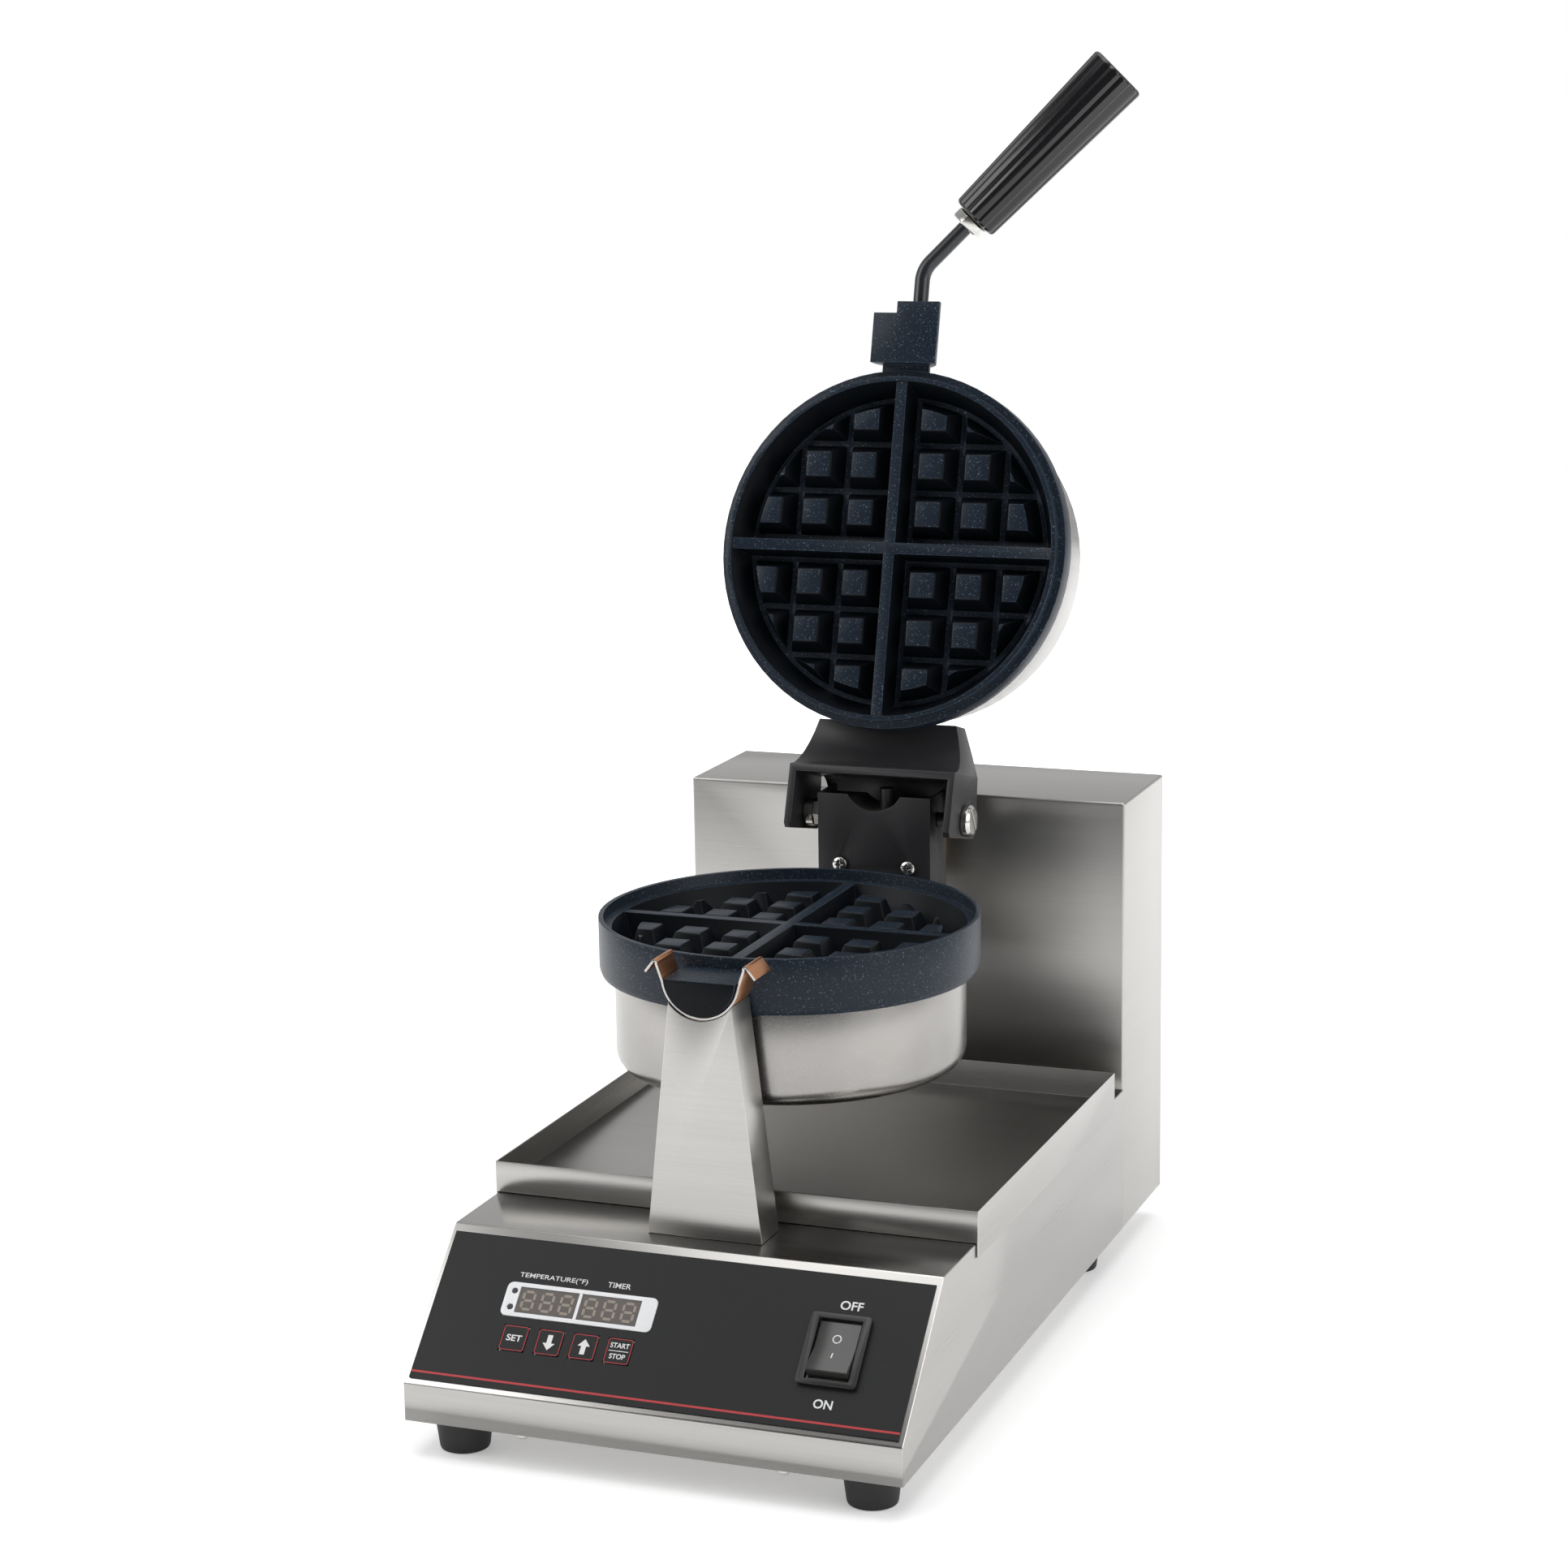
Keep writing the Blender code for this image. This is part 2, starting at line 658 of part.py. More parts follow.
def display_parts():
    bezel = outline("display_bezel", rounded(DISPLAY_W, DISPLAY_H, 0.003), 0, DISPLAY_T, "Z")
    lay_on_slope(bezel, DISPLAY_X, DISPLAY_UP, GAP)
    made = []
    for name, x in (("timer_display", TIMER_X), ("temperature_display", TEMPERATURE_X)):
        hole = box("window_cut", (-WINDOW_W / 2, -WINDOW_H / 2, -0.003), (WINDOW_W / 2, WINDOW_H / 2, 0.003),
                   "cutters")
        lay_on_slope(hole, x, DISPLAY_UP, GAP)
        cut(bezel, hole)
        half_w, half_h = WINDOW_W / 2 - GAP, WINDOW_H / 2 - GAP
        module = outline(name, rounded(2 * half_w, 2 * half_h, 0.0005, 1), -0.006, 0.0008, "Z")
        lay_on_slope(module, x, DISPLAY_UP, GAP)
        made.append(dress(module, display_glass()))
    for name, side in (("timer_lamp", 1), ("temperature_lamp", -1)):
        up = DISPLAY_UP + side * LED_STEP / 2
        hole = cylinder("lamp_cut", LED_R + GAP, 0.006, (0, 0, 0), "Z", "cutters", 20)
        lay_on_slope(hole, LED_X, up, GAP)
        cut(bezel, hole)
        light = cylinder(name, LED_R, DISPLAY_T, (0, 0, 0), "Z", "part", 20)
        lay_on_slope(light, LED_X, up, GAP + DISPLAY_T / 2 + 0.0002)
        made.append(dress(light, lamp()))
    made.append(dress(bezel, white_plastic()))
    return made


def keys():
    made = {}
    for name, x in KEY_XS.items():
        key = outline(name, rounded(KEY_W, KEY_W, 0.0012, 2), 0, KEY_T, "Z")
        lay_on_slope(key, x, KEY_UP, 2 * GAP + 0.0001)
        made[name] = dress(key, charcoal_film())
    return made


def switch_bezel():
    made = outline("switch_bezel", rounded(SWITCH_W, SWITCH_L, 0.002), 0, SWITCH_T, "Z")
    lay_on_slope(made, SWITCH_X, SWITCH_UP, 2 * GAP + FILM_T)
    collar = box("switch_collar", (-ROCKER_W / 2 - 0.0018, -ROCKER_L / 2 - 0.0030, -0.014),
                 (ROCKER_W / 2 + 0.0018, ROCKER_L / 2 + 0.0030, 0.001), "cutters")
    lay_on_slope(collar, SWITCH_X, SWITCH_UP, 2 * GAP + FILM_T - 0.0065)
    join(made, collar)
    hole = box("rocker_cut", (-ROCKER_W / 2 - 0.0005, -ROCKER_L / 2 - 0.0018, -0.012),
               (ROCKER_W / 2 + 0.0005, ROCKER_L / 2 + 0.0018, 0.012), "cutters")
    lay_on_slope(hole, SWITCH_X, SWITCH_UP, 0.0010)
    cut(made, hole)
    return dress(made, black_plastic())


def rocker_profile():
    """(y, z) side outline of the rocker about its axis: dished top, round belly."""
    half = ROCKER_L / 2
    top = SWITCH_T + 0.0042
    belly = arc((0, 0), half * 0.62, 200, 340, 8)
    return [(-half, top), (-half, 0.0005)] + belly + [(half, 0.0005), (half, top), (0, top - 0.0022)]


def switch_rocker():
    made = outline("switch_rocker", rocker_profile(), -ROCKER_W / 2, ROCKER_W / 2)
    made.location = on_slope(SWITCH_X, SWITCH_UP, -ROCKER_AXIS_DEEP)
    made.rotation_euler = (SLOPE_ANGLE - ROCKER_TILT, 0, 0)
    return dress(made, black_plastic())


def control_board():
    middle_x, middle_up = -0.025, 0.042
    made = box("control_board", (-BOARD_W / 2, -BOARD_L / 2, -BOARD_T / 2),
               (BOARD_W / 2, BOARD_L / 2, BOARD_T / 2))
    lay_on_slope(made, middle_x, middle_up, -BOARD_DEEP)
    driver = (-0.05, 0.010, 0.030, 0.016, 0.006)      # x and up from the middle, width, height, depth
    key_strip = (-0.025, -0.012, 0.062, 0.010, 0.004)
    connector = (0.055, 0.003, 0.020, 0.026, 0.007)
    for x, up, width, height, tall in (driver, key_strip, connector):
        chip = box("board_part", (-width / 2, -height / 2, -tall / 2), (width / 2, height / 2, tall / 2),
                   "cutters")
        lay_on_slope(chip, middle_x + x, middle_up + up, tall / 2 - BOARD_DEEP)
        join(made, chip)
    return dress(made, circuit())


def relay_board():
    """Power board on four posts, with three relay cans."""
    half_w, front, back = 0.055, -0.060, 0.030
    under = FLOOR_Z + SHEET + GAP
    board = under + 0.0065
    post_h = board - under + GAP
    made = box("relay_board", (-half_w, front, board), (half_w, back, board + BOARD_T))
    for x, y, size in ((-0.03, -0.03, 0.02), (0.03, -0.03, 0.02), (0.0, 0.01, 0.028)):
        join(made, box("relay_can", (x - size / 2, y - size / 2, board + BOARD_T / 2),
                       (x + size / 2, y + size / 2, board + size), "cutters"))
    for x in (-half_w + 0.005, half_w - 0.005):
        for y in (front + 0.005, back - 0.005):
            join(made, cylinder("board_post", 0.003, post_h, (x, y, under + post_h / 2), "Z", "cutters", 12))
    return dress(made, circuit())


def terminal_block():
    low = Vector((0.03, TOWER_Y + 0.02, FLOOR_Z + SHEET + GAP))
    width, depth, height, pitch, slot = 0.06, 0.022, 0.0165, 0.012, 0.006
    made = box("terminal_block", low, low + Vector((width, depth, height)))
    for i in range(5):
        x = low.x + (i + 0.5) * pitch
        cut(made, box("terminal_slot", (x - slot / 2, low.y - 0.01, low.z + height / 2),
                      (x + slot / 2, low.y + depth + 0.01, low.z + 2 * height), "cutters"))
    return dress(made, white_plastic())


def power_inlet():
    """Mains inlet moulding: body, flange outside the tower's back and a plain socket."""
    half_w, half_h, wall_x, wall_z = INLET_W / 2, INLET_H / 2, 0.002, 0.003
    made = box("power_inlet", (INLET_X - half_w, BACK_Y - INLET_DEEP, INLET_Z - half_h),
               (INLET_X + half_w, BACK_Y + GAP + 0.001, INLET_Z + half_h))
    flange = box("inlet_flange", (INLET_X - half_w - INLET_FLANGE, BACK_Y + GAP, INLET_Z - half_h - 0.002),
                 (INLET_X + half_w + INLET_FLANGE, BACK_Y + GAP + 0.002, INLET_Z + half_h + 0.002))
    socket = box("inlet_socket",
                 (INLET_X - half_w + wall_x, BACK_Y - INLET_DEEP + 0.006, INLET_Z - half_h + wall_z),
                 (INLET_X + half_w - wall_x, BACK_Y + 0.01, INLET_Z + half_h - wall_z))
    join(made, flange)
    cut(made, socket)
    return dress(made, black_plastic())


# ---------------------------------------------------------------- drip tray
def drip_tray():
    half = BASE_W / 2 + GAP + TRAY_T
    front = FRONT_Y + TRAY_FRONT
    floor = DECK_Z + GAP
    made = box("drip_tray", (-half, front, floor), (half, front + TRAY_D, floor + TRAY_H))
    drop_faces(made, [(0, 0, 1)])
    thicken(made, TRAY_T)
    for side in (-1, 1):
        edge = sorted((side * (half - TRAY_T), side * half))
        flap = box("tray_flap", (edge[0], front, floor - TRAY_FLAP), (edge[1], front + TRAY_D, floor + 0.003))
        join(made, flap)
    return dress(made, steel())


# ---------------------------------------------------------------- front post and cradle
def front_post():
    """A folded sheet channel, open to the back, with a round seat at its top."""
    top = BOTTOM_Z + POST_UP
    front = FRONT_Y + POST_FRONT
    sides = [(-POST_W / 2, DECK_Z + GAP), (POST_W / 2, DECK_Z + GAP), (POST_TOP_W / 2, top),
             (-POST_TOP_W / 2, top)]
    made = outline("front_post", sides, front, front + POST_D, "Y")
    drop_faces(made, [(0, 0, -1), (0, 0, 1), (0, 1, 0)])
    thicken(made, POST_SHEET)
    seat = cylinder("seat_cut", CRADLE_R + CRADLE_T + GAP, 0.1, (0, front, FLIP_Z), "Y", "cutters", 64)
    cut(made, seat)
    return dress(made, steel())


def cradle_path():
    """(x, z) right half of the cradle strip, from its lowest point to its folded lip."""
    path = arc((0, 0), CRADLE_R, -90, -8, 12)
    leg = (CRADLE_LEG_X - 0.0015, CRADLE_LEG_UP - 0.002)
    fold = arc((CRADLE_LEG_X, CRADLE_LEG_UP - 0.0015), 0.0018, 160, 10, 4)
    return path + [leg] + fold + [(CRADLE_LIP_X, CRADLE_LEG_UP - 0.006)]


def cradle_liner():
    half = cradle_path()
    path = [(-x, z) for x, z in reversed(half)] + half[1:]
    front = FRONT_Y + POST_FRONT + 0.0008
    bm = bmesh.new()
    near = [bm.verts.new((x, front, FLIP_Z + z)) for x, z in path]
    far = [bm.verts.new((x, front + POST_D - 0.0025, FLIP_Z + z)) for x, z in path]
    for i in range(len(path) - 1):
        bm.faces.new((near[i], near[i + 1], far[i + 1], far[i]))
    mesh = bpy.data.meshes.new("cradle_liner")
    bm.to_mesh(mesh)
    bm.free()
    made = add_object("cradle_liner", mesh)
    thicken(made, CRADLE_T)
    return dress(made, copper_liner())


# ---------------------------------------------------------------- waffle moulds
def mould_cross(name):
    """The cross between the four quadrants, wider at its foot, in plate coordinates."""
    foot = -LEDGE_DOWN - CAVITY_DEPTH - 0.001
    rise = -LEDGE_DOWN - 0.0004 - foot
    half = DIVIDER_BASE_W / 2
    reach = CAVITY_FLOOR_R + 0.0022
    points = []
    for turn in range(4):
        spin = Matrix.Rotation(turn * pi / 2, 2)
        points += [spin @ Vector(corner) for corner in ((half, half), (half, reach), (-half, reach))]
    made = outline(name, [(p.x, p.y) for p in points], foot, foot + rise, "Z", "cutters")
    for vert in made.data.vertices:
        if vert.co.z > foot + rise / 2:
            for axis in (0, 1):
                if abs(vert.co[axis]) < half * 1.01:
                    vert.co[axis] *= DIVIDER_W / DIVIDER_BASE_W
                else:
                    vert.co[axis] *= (reach + CAVITY_DRAFT) / reach
    return made


def peg_places():
    first = DIVIDER_BASE_W / 2 + GROOVE_W + PEG_BASE / 2
    places = []
    for i in range(3):
        for j in range(3):
            x, y = first + i * PEG_PITCH, first + j * PEG_PITCH
            inner = hypot(x - PEG_BASE / 2, y - PEG_BASE / 2)
            if inner < CAVITY_FLOOR_R - 4 * GROOVE_W:
                places += [(sx * x, sy * y) for sx in (-1, 1) for sy in (-1, 1)]
    return places


def mould_pegs(name):
    """All the pyramids of one plate, clipped to the round cavity."""
    floor = -LEDGE_DOWN - CAVITY_DEPTH
    sunk = 0.001
    bm = bmesh.new()
    grow = (PEG_BASE - PEG_TOP) / 2 * sunk / PEG_H
    for x, y in peg_places():
        place = Matrix.Translation((x, y, floor + (PEG_H - sunk) / 2)) @ Matrix.Rotation(pi / 4, 4, 'Z')
        bmesh.ops.create_cone(bm, cap_ends=True, segments=4, radius1=(PEG_BASE / 2 + grow) * 2 ** 0.5,
                              radius2=PEG_TOP / 2 * 2 ** 0.5, depth=PEG_H + sunk, matrix=place)
    pegs = add_object(name, mesh_from(name, bm), "cutters")
    slope = (PEG_BASE - PEG_TOP) / 2 / PEG_H
    low_r = CAVITY_FLOOR_R - GROOVE_W
    clip = cylinder("peg_clip", low_r + slope * 0.003, PEG_H + 0.006, (0, 0, floor + PEG_H / 2), "Z", "cutters",
                    96, low_r - slope * (PEG_H + 0.003))
    combine(pegs, clip, 'INTERSECT')
    return bake(pegs)


def plate_body(name, profile):
    made = bake(turned(name, profile, 72))
    join(made, mould_pegs(name + "_pegs"), mould_cross(name + "_cross"))
    return made


def lower_plate():
    """Cast lower plate: rim, ledge, mould, outer band, front journal and rear arm."""
    floor = -LEDGE_DOWN - CAVITY_DEPTH
    skirt_r = COVER_R + GAP
    bottom = RIM_UP - BAND_H
    profile = [(0, floor), (CAVITY_FLOOR_R, floor), (CAVITY_R, -LEDGE_DOWN),
               (PLATE_R - RIM_T, -LEDGE_DOWN), (PLATE_R - RIM_T, RIM_UP), (PLATE_R, RIM_UP),
               (PLATE_R, bottom + 0.004), (PLATE_R - 0.001, bottom + 0.001), (PLATE_R - 0.004, bottom),
               (skirt_r, bottom), (skirt_r, floor - FLOOR_T), (0, floor - FLOOR_T)]
    made = plate_body("lower_plate", profile)
    front = FRONT_Y + BOSS_FRONT - PLATE_Y
    journal = outline("journal", arc((0, 0), BOSS_R, 183, 357, 24), front, -PLATE_R + 0.003, "Y", "cutters")
    back = FRONT_Y + HOUSING_FRONT - GAP - PLATE_Y
    arm = box("arm", (-ARM_W / 2, PLATE_R - 0.003, -ARM_DROP), (ARM_W / 2, back, ARM_H - ARM_DROP), "cutters")
    join(made, journal, arm)
    made = bake(made)
    made.location = (0, PLATE_Y, FLIP_Z)
    return dress(made, coating())


def upper_plate():
    """Cast upper plate: male ring, mould, narrow band and the handle block.

    It is modelled face up in plate coordinates and then turned over.
    """
    floor = -LEDGE_DOWN - CAVITY_DEPTH
    face = -RIM_UP - GAP
    ring_r = PLATE_R - RIM_T - RING_CLEAR
    back = face - LID_BAND_H
    profile = [(0, floor), (CAVITY_FLOOR_R, floor), (ring_r - RING_T, -LEDGE_DOWN * 0.1),
               (ring_r, -LEDGE_DOWN * 0.1), (ring_r, face), (LID_R, face), (LID_R, back + 0.001),
               (LID_R - 0.001, back), (COVER_R - 0.003, back), (COVER_R - 0.006, floor - FLOOR_T),
               (0, floor - FLOOR_T)]
    made = plate_body("upper_plate", profile)
    front = FRONT_Y + BLOCK_FRONT - PLATE_Y
    block = outline("block", arc((0, 0.0008), BOSS_R, 180, 360, 24), front, -LID_R - 0.0035, "Y", "cutters")
    neck = outline("neck", arc((0, face - 0.0006), BOSS_R + face, 180, 360, 16), -LID_R - 0.006, -LID_R + 0.004,
                   "Y", "cutters")
    corner = box("block_step", (-BLOCK_STEP_X, front - 0.001, -0.03), (0.03, front + BLOCK_STEP, 0.01),
                 "cutters")
    bore = cylinder("rod_bore", ROD_R + GAP, 2 * ROD_SEAT + 0.004, (-ROD_X, front, -ROD_RISE), "Y",
                    "cutters", 24)
    join(made, block, neck)
    cut(made, corner, bore)
    made = bake(made)
    made.location = (0, PLATE_Y, FLIP_Z)
    made.rotation_euler = (0, pi, 0)
    return dress(made, coating())


def cover(name, top, flange):
    """A steel cup whose bottom is down, with an optional outward flange at its mouth."""
    bottom = RIM_UP - COVER_H
    outer, inner = COVER_R, COVER_R - COVER_T
    centre = (outer - COVER_CORNER_R, bottom + COVER_CORNER_R)
    lip = [(inner, top), (outer, top)]
    if flange:
        lip = [(inner, top), (outer + flange, top), (outer + flange, top - COVER_T), (outer, top - COVER_T)]
    profile = [(0, bottom + COVER_T)] + arc(centre, COVER_CORNER_R - COVER_T, -90, 0, 4) + lip
    profile += arc(centre, COVER_CORNER_R, 0, -90, 4) + [(0, bottom)]
    return bake(turned(name, profile, 64))


def lower_cover():
    made = cover("lower_cover", -LEDGE_DOWN - CAVITY_DEPTH - FLOOR_T - GAP, 0)
    made.location = (0, PLATE_Y, FLIP_Z)
    return dress(made, steel())


def upper_cover():
    made = cover("upper_cover", -RIM_UP - LID_BAND_H - 2 * GAP, FLANGE_W)
    made.location = (0, PLATE_Y, FLIP_Z)
    made.rotation_euler = (0, pi, 0)
    return dress(made, steel())


def heater(name, side):
    """A tubular ring element under a plate's floor, with two bent tails."""
    depth = side * (LEDGE_DOWN + CAVITY_DEPTH + FLOOR_T + GAP + HEATER_R)
    ring = [(HEATER_RING_R * cos(radians(a)), HEATER_RING_R * sin(radians(a)), depth)
            for a in range(100, 441, 10)]
    tail = side * 0.018
    start = (ring[0][0], ring[0][1], depth + tail)
    end = (ring[-1][0], ring[-1][1], depth + tail)
    made = rod(name, [start] + ring + [end], HEATER_R, resolution=1)
    made.location = (0, PLATE_Y, FLIP_Z)
    return dress(made, heater_metal())


def sensor(name, side):
    depth = side * (LEDGE_DOWN + CAVITY_DEPTH + FLOOR_T + GAP + SENSOR_L / 2)
    made = cylinder(name, SENSOR_R, SENSOR_L, (0, PLATE_Y, FLIP_Z + depth), "Z", "part", 20)
    return dress(made, bright_zinc())


# ---------------------------------------------------------------- hinge
def hinge_housing():
    """Black folded channel, open at the back, with a notch for the lid's lead."""
    half = HOUSING_W / 2
    front = FRONT_Y + HOUSING_FRONT
    made = box("hinge_housing", (-half, front, BOTTOM_Z + HOUSING_BOTTOM),
               (half, front + HOUSING_D, BOTTOM_Z + HOUSING_TOP))
    drop_faces(made, [(0, 0, 1), (0, 0, -1), (0, 1, 0)])
    thicken(made, POST_SHEET)
    studs = cylinder("stud_cut", STUD_R + GAP, 0.2, (0, HINGE_Y, HINGE_Z), "X", "cutters", 24)
    cut(made, notch("housing_notch"), studs)
    for side in (-1, 1):
        cut(made, cylinder("face_screw_cut", FACE_SCREW_R + GAP, 0.01, face_screw_place(side), "Y",
                           "cutters", 16))
    return dress(made, black_paint())


def face_screw_place(side):
    return (side * FACE_SCREW_X, FRONT_Y + HOUSING_FRONT, BOTTOM_Z + FACE_SCREW_UP)


def notch(name):
    centre = HOUSING_TOP - NOTCH_DEEP + NOTCH_R
    return cylinder(name, NOTCH_R, 0.1, (0, HINGE_Y, BOTTOM_Z + centre), "Y", "cutters", 48)


def pivot_block():
    half = HOUSING_W / 2 - POST_SHEET - GAP
    front = FRONT_Y + HOUSING_FRONT + POST_SHEET + GAP
    made = box("pivot_block", (-half, front, BOTTOM_Z + HOUSING_BOTTOM + 0.002),
               (half, front + HOUSING_D - BLOCK_SHORT, BOTTOM_Z + HOUSING_TOP - BLOCK_SHORT))
    shaft = cylinder("block_bore", SHAFT_R + GAP, 0.04,
                     (0, front + HOUSING_D - BLOCK_SHORT - SHAFT_SEAT + 0.02, FLIP_Z), "Y", "cutters", 48)
    cut(made, notch("block_notch"), shaft)
    for side in (-1, 1):
        x = side * (half - STUD_SEAT / 2 + 0.001)
        cut(made, cylinder("stud_bore", STUD_R + GAP, STUD_SEAT + 0.002, (x, HINGE_Y, HINGE_Z), "X",
                           "cutters", 24))
        place = Vector(face_screw_place(side))
        cut(made, cylinder("screw_bore", FACE_SCREW_R + GAP, 0.024, place, "Y", "cutters", 16))
    cut(made, cylinder("sleeve_bore", SLEEVE_R + GAP, 0.03, (SLEEVE_X, HINGE_Y - 0.002, HINGE_Z + 0.016),
                       "Z", "cutters", 24))
    return dress(made, heater_metal())


def hinge_fasteners():
    made = []
    stop = HOUSING_W / 2 - POST_SHEET - GAP - STUD_SEAT + 0.0006
    for side, word in ((-1, "left"), (1, "right")):
        head_x = BRACKET_W / 2 + GAP
        profile = [(0, head_x + STUD_HEAD_T), (STUD_HEAD_R * 0.8, head_x + STUD_HEAD_T),
                   (STUD_HEAD_R, head_x + STUD_HEAD_T * 0.6), (STUD_HEAD_R, head_x), (STUD_R, head_x),
                   (STUD_R, stop), (0, stop)]
        bolt = bake(turned("hinge_bolt_" + word, profile, 24))
        bolt.location = (0, HINGE_Y, HINGE_Z)
        bolt.rotation_euler = (0, side * pi / 2, 0)
        made.append(dress(bolt, bright_zinc()))
    low = HOUSING_W / 2 + GAP
    nut_end = low + HINGE_NUT_T
    nut = hex_nut("hinge_nut", HINGE_NUT_AF, STUD_R, low, nut_end)
    washer = ring_piece("hinge_washer", WASHER_R, STUD_R + GAP, nut_end + GAP,
                        BRACKET_W / 2 - BRACKET_T - GAP, 24)
    for piece in (nut, washer):
        piece.location = (0, HINGE_Y, HINGE_Z)
        piece.rotation_euler = (0, -pi / 2, 0)
        made.append(dress(piece, bright_zinc()))
    for side, word in ((-1, "left"), (1, "right")):
        place = Vector(face_screw_place(side)) - Vector((0, GAP, 0))
        piece = screw("plate_screw_" + word, place, FACE_SCREW_HEAD_R, SCREW_HEAD_H, FACE_SCREW_R, 0.0115,
                      bright_zinc())
        piece.rotation_euler = (-pi / 2, 0, 0)
        made.append(piece)
    sleeve = cylinder("lid_lead_sleeve", SLEEVE_R, SLEEVE_TOP - SLEEVE_FOOT,
                      (SLEEVE_X, HINGE_Y - 0.002, HINGE_Z + (SLEEVE_TOP + SLEEVE_FOOT) / 2), "Z", "part", 24)
    made.append(dress(sleeve, black_plastic()))
    return made


def ring_piece(name, outer, inner, low, high, steps):
    profile = [(inner, low), (outer, low), (outer, high), (inner, high)]
    return bake(turned(name, profile, steps))


def hex_nut(name, across, rod_r, low, high):
    """A six-sided nut from low to high along Z, bored to clear its rod."""
    made = cylinder(name, across / 2 / cos(pi / 6), high - low, (0, 0, 0), "Z", "part", 6)
    cut(made, cylinder(name + "_bore", rod_r + GAP, 0.03, (0, 0, 0), "Z", "cutters", 32))
    made = bake(made)
    made.data.transform(Matrix.Translation((0, 0, (low + high) / 2)))
    return made


def shaft_parts():
    """Hollow tilt shaft, its flanged bearing, the bearing's plate and the lock collar."""
    front = FRONT_Y + HOUSING_FRONT + POST_SHEET + GAP + HOUSING_D - BLOCK_SHORT - SHAFT_SEAT + GAP
    back = TOWER_Y + SHAFT_IN
    shaft = ring_piece("tilt_shaft", SHAFT_R, SHAFT_BORE_R, front, back, 40)
    flange_back = TOWER_Y - GAP
    flange_front = flange_back - BEARING_FLANGE_T
    bearing_back = TOWER_Y + BEARING_IN
    bearing = [(SHAFT_R + GAP, flange_front), (BEARING_FLANGE_R, flange_front),
               (BEARING_FLANGE_R, flange_back), (BEARING_R, flange_back), (BEARING_R, bearing_back),
               (SHAFT_R + GAP, bearing_back)]
    bush = bake(turned("shaft_bearing", bearing, 40))
    collar = ring_piece("lock_collar", COLLAR_R, SHAFT_R + GAP, bearing_back + GAP, bearing_back + COLLAR_T, 40)
    for piece in (shaft, bush, collar):
        piece.location = (0, 0, FLIP_Z)
        piece.rotation_euler = (-pi / 2, 0, 0)
    plate_y = TOWER_Y + SHEET + GAP
    plate = box("bearing_plate", (-0.045, plate_y, FLIP_Z - 0.03), (0.045, plate_y + 0.004, FLIP_Z + 0.026))
    cut(plate, cylinder("plate_cut", BEARING_R + GAP, 0.02, (0, plate_y, FLIP_Z), "Y", "cutters", 40))
    return [dress(shaft, heater_metal()), dress(collar, bright_zinc())], [dress(bush, bronze()),
                                                                         dress(plate, steel())]


def bracket_points():
    """(y, z) side outline of the lid bracket with the lid shut, about the hinge axis."""
    web = -BRACKET_REACH - BRACKET_T
    root = PLATE_Y + COVER_R + FLANGE_W + GAP - HINGE_Y
    root_z = FLIP_Z + RIM_UP + LID_BAND_H + 0.004 - HINGE_Z
    foot_z = BRACKET_FOOT
    under = []
    for i in range(7):
        t = i / 6
        y = root + (web - root) * sin(t * pi / 2)
        z = root_z + (foot_z - root_z) * (1 - cos(t * pi / 2))
        under.append((y, z))
    tip = [(0.0085, -0.0265), (0.011, -0.024), (0.009, 0.019), (0.006, 0.022)]
    return under + [(web + 0.006, -0.0245)] + tip + [(-0.037, 0.017), (root, 0.013)]


def lid_bracket():
    """Black steel fork between the lid and the hinge, with two ears."""
    half = BRACKET_W / 2
    made = outline("lid_bracket", bracket_points(), -half, half)
    root = PLATE_Y + COVER_R + FLANGE_W + GAP - HINGE_Y
    web = -BRACKET_REACH - BRACKET_T
    taper = (BRACKET_W - BRACKET_NECK_W) / 2
    cuts = []
    for side in (-1, 1):
        points = [(side * half, web), (side * (half - taper), root), (side * (half - taper), root - 0.02),
                  (side * (half + 0.02), root - 0.02), (side * (half + 0.02), web)]
        cuts.append(outline("bracket_side_cut", points, -0.05, 0.05, "Z", "cutters"))
    inner = half - BRACKET_T
    cuts.append(box("fork_cut", (-inner, -BRACKET_REACH, -0.05), (inner, 0.05, 0.05), "cutters"))
    neck = BRACKET_NECK_W / 2 - BRACKET_T
    skin = [(y, z + BRACKET_T) for y, z in bracket_points()[:5]]
    pocket = [(root - 0.01, skin[0][1])] + skin + [(web, skin[-1][1]), (web, 0.05), (root - 0.01, 0.05)]
    cuts.append(outline("pocket_cut", pocket, -neck, neck, "X", "cutters"))
    cuts.append(cylinder("ear_bore", STUD_R + GAP, 0.2, (0, 0, 0), "X", "cutters", 32))
    cuts.append(cylinder("cover_cut", COVER_R + FLANGE_W + GAP, 0.2, (0, PLATE_Y - HINGE_Y, 0), "Z",
                         "cutters", 96))
    cut(made, *cuts)
    made = bake(made)
    made.location = (0, HINGE_Y, HINGE_Z)
    return dress(made, black_paint())


# ---------------------------------------------------------------- handle
def handle_direction():
    return Vector((sin(ROD_BEND), -cos(ROD_BEND), 0))


def handle_corner():
    return Vector((ROD_X, FRONT_Y + ROD_CORNER, FLIP_Z + ROD_RISE))


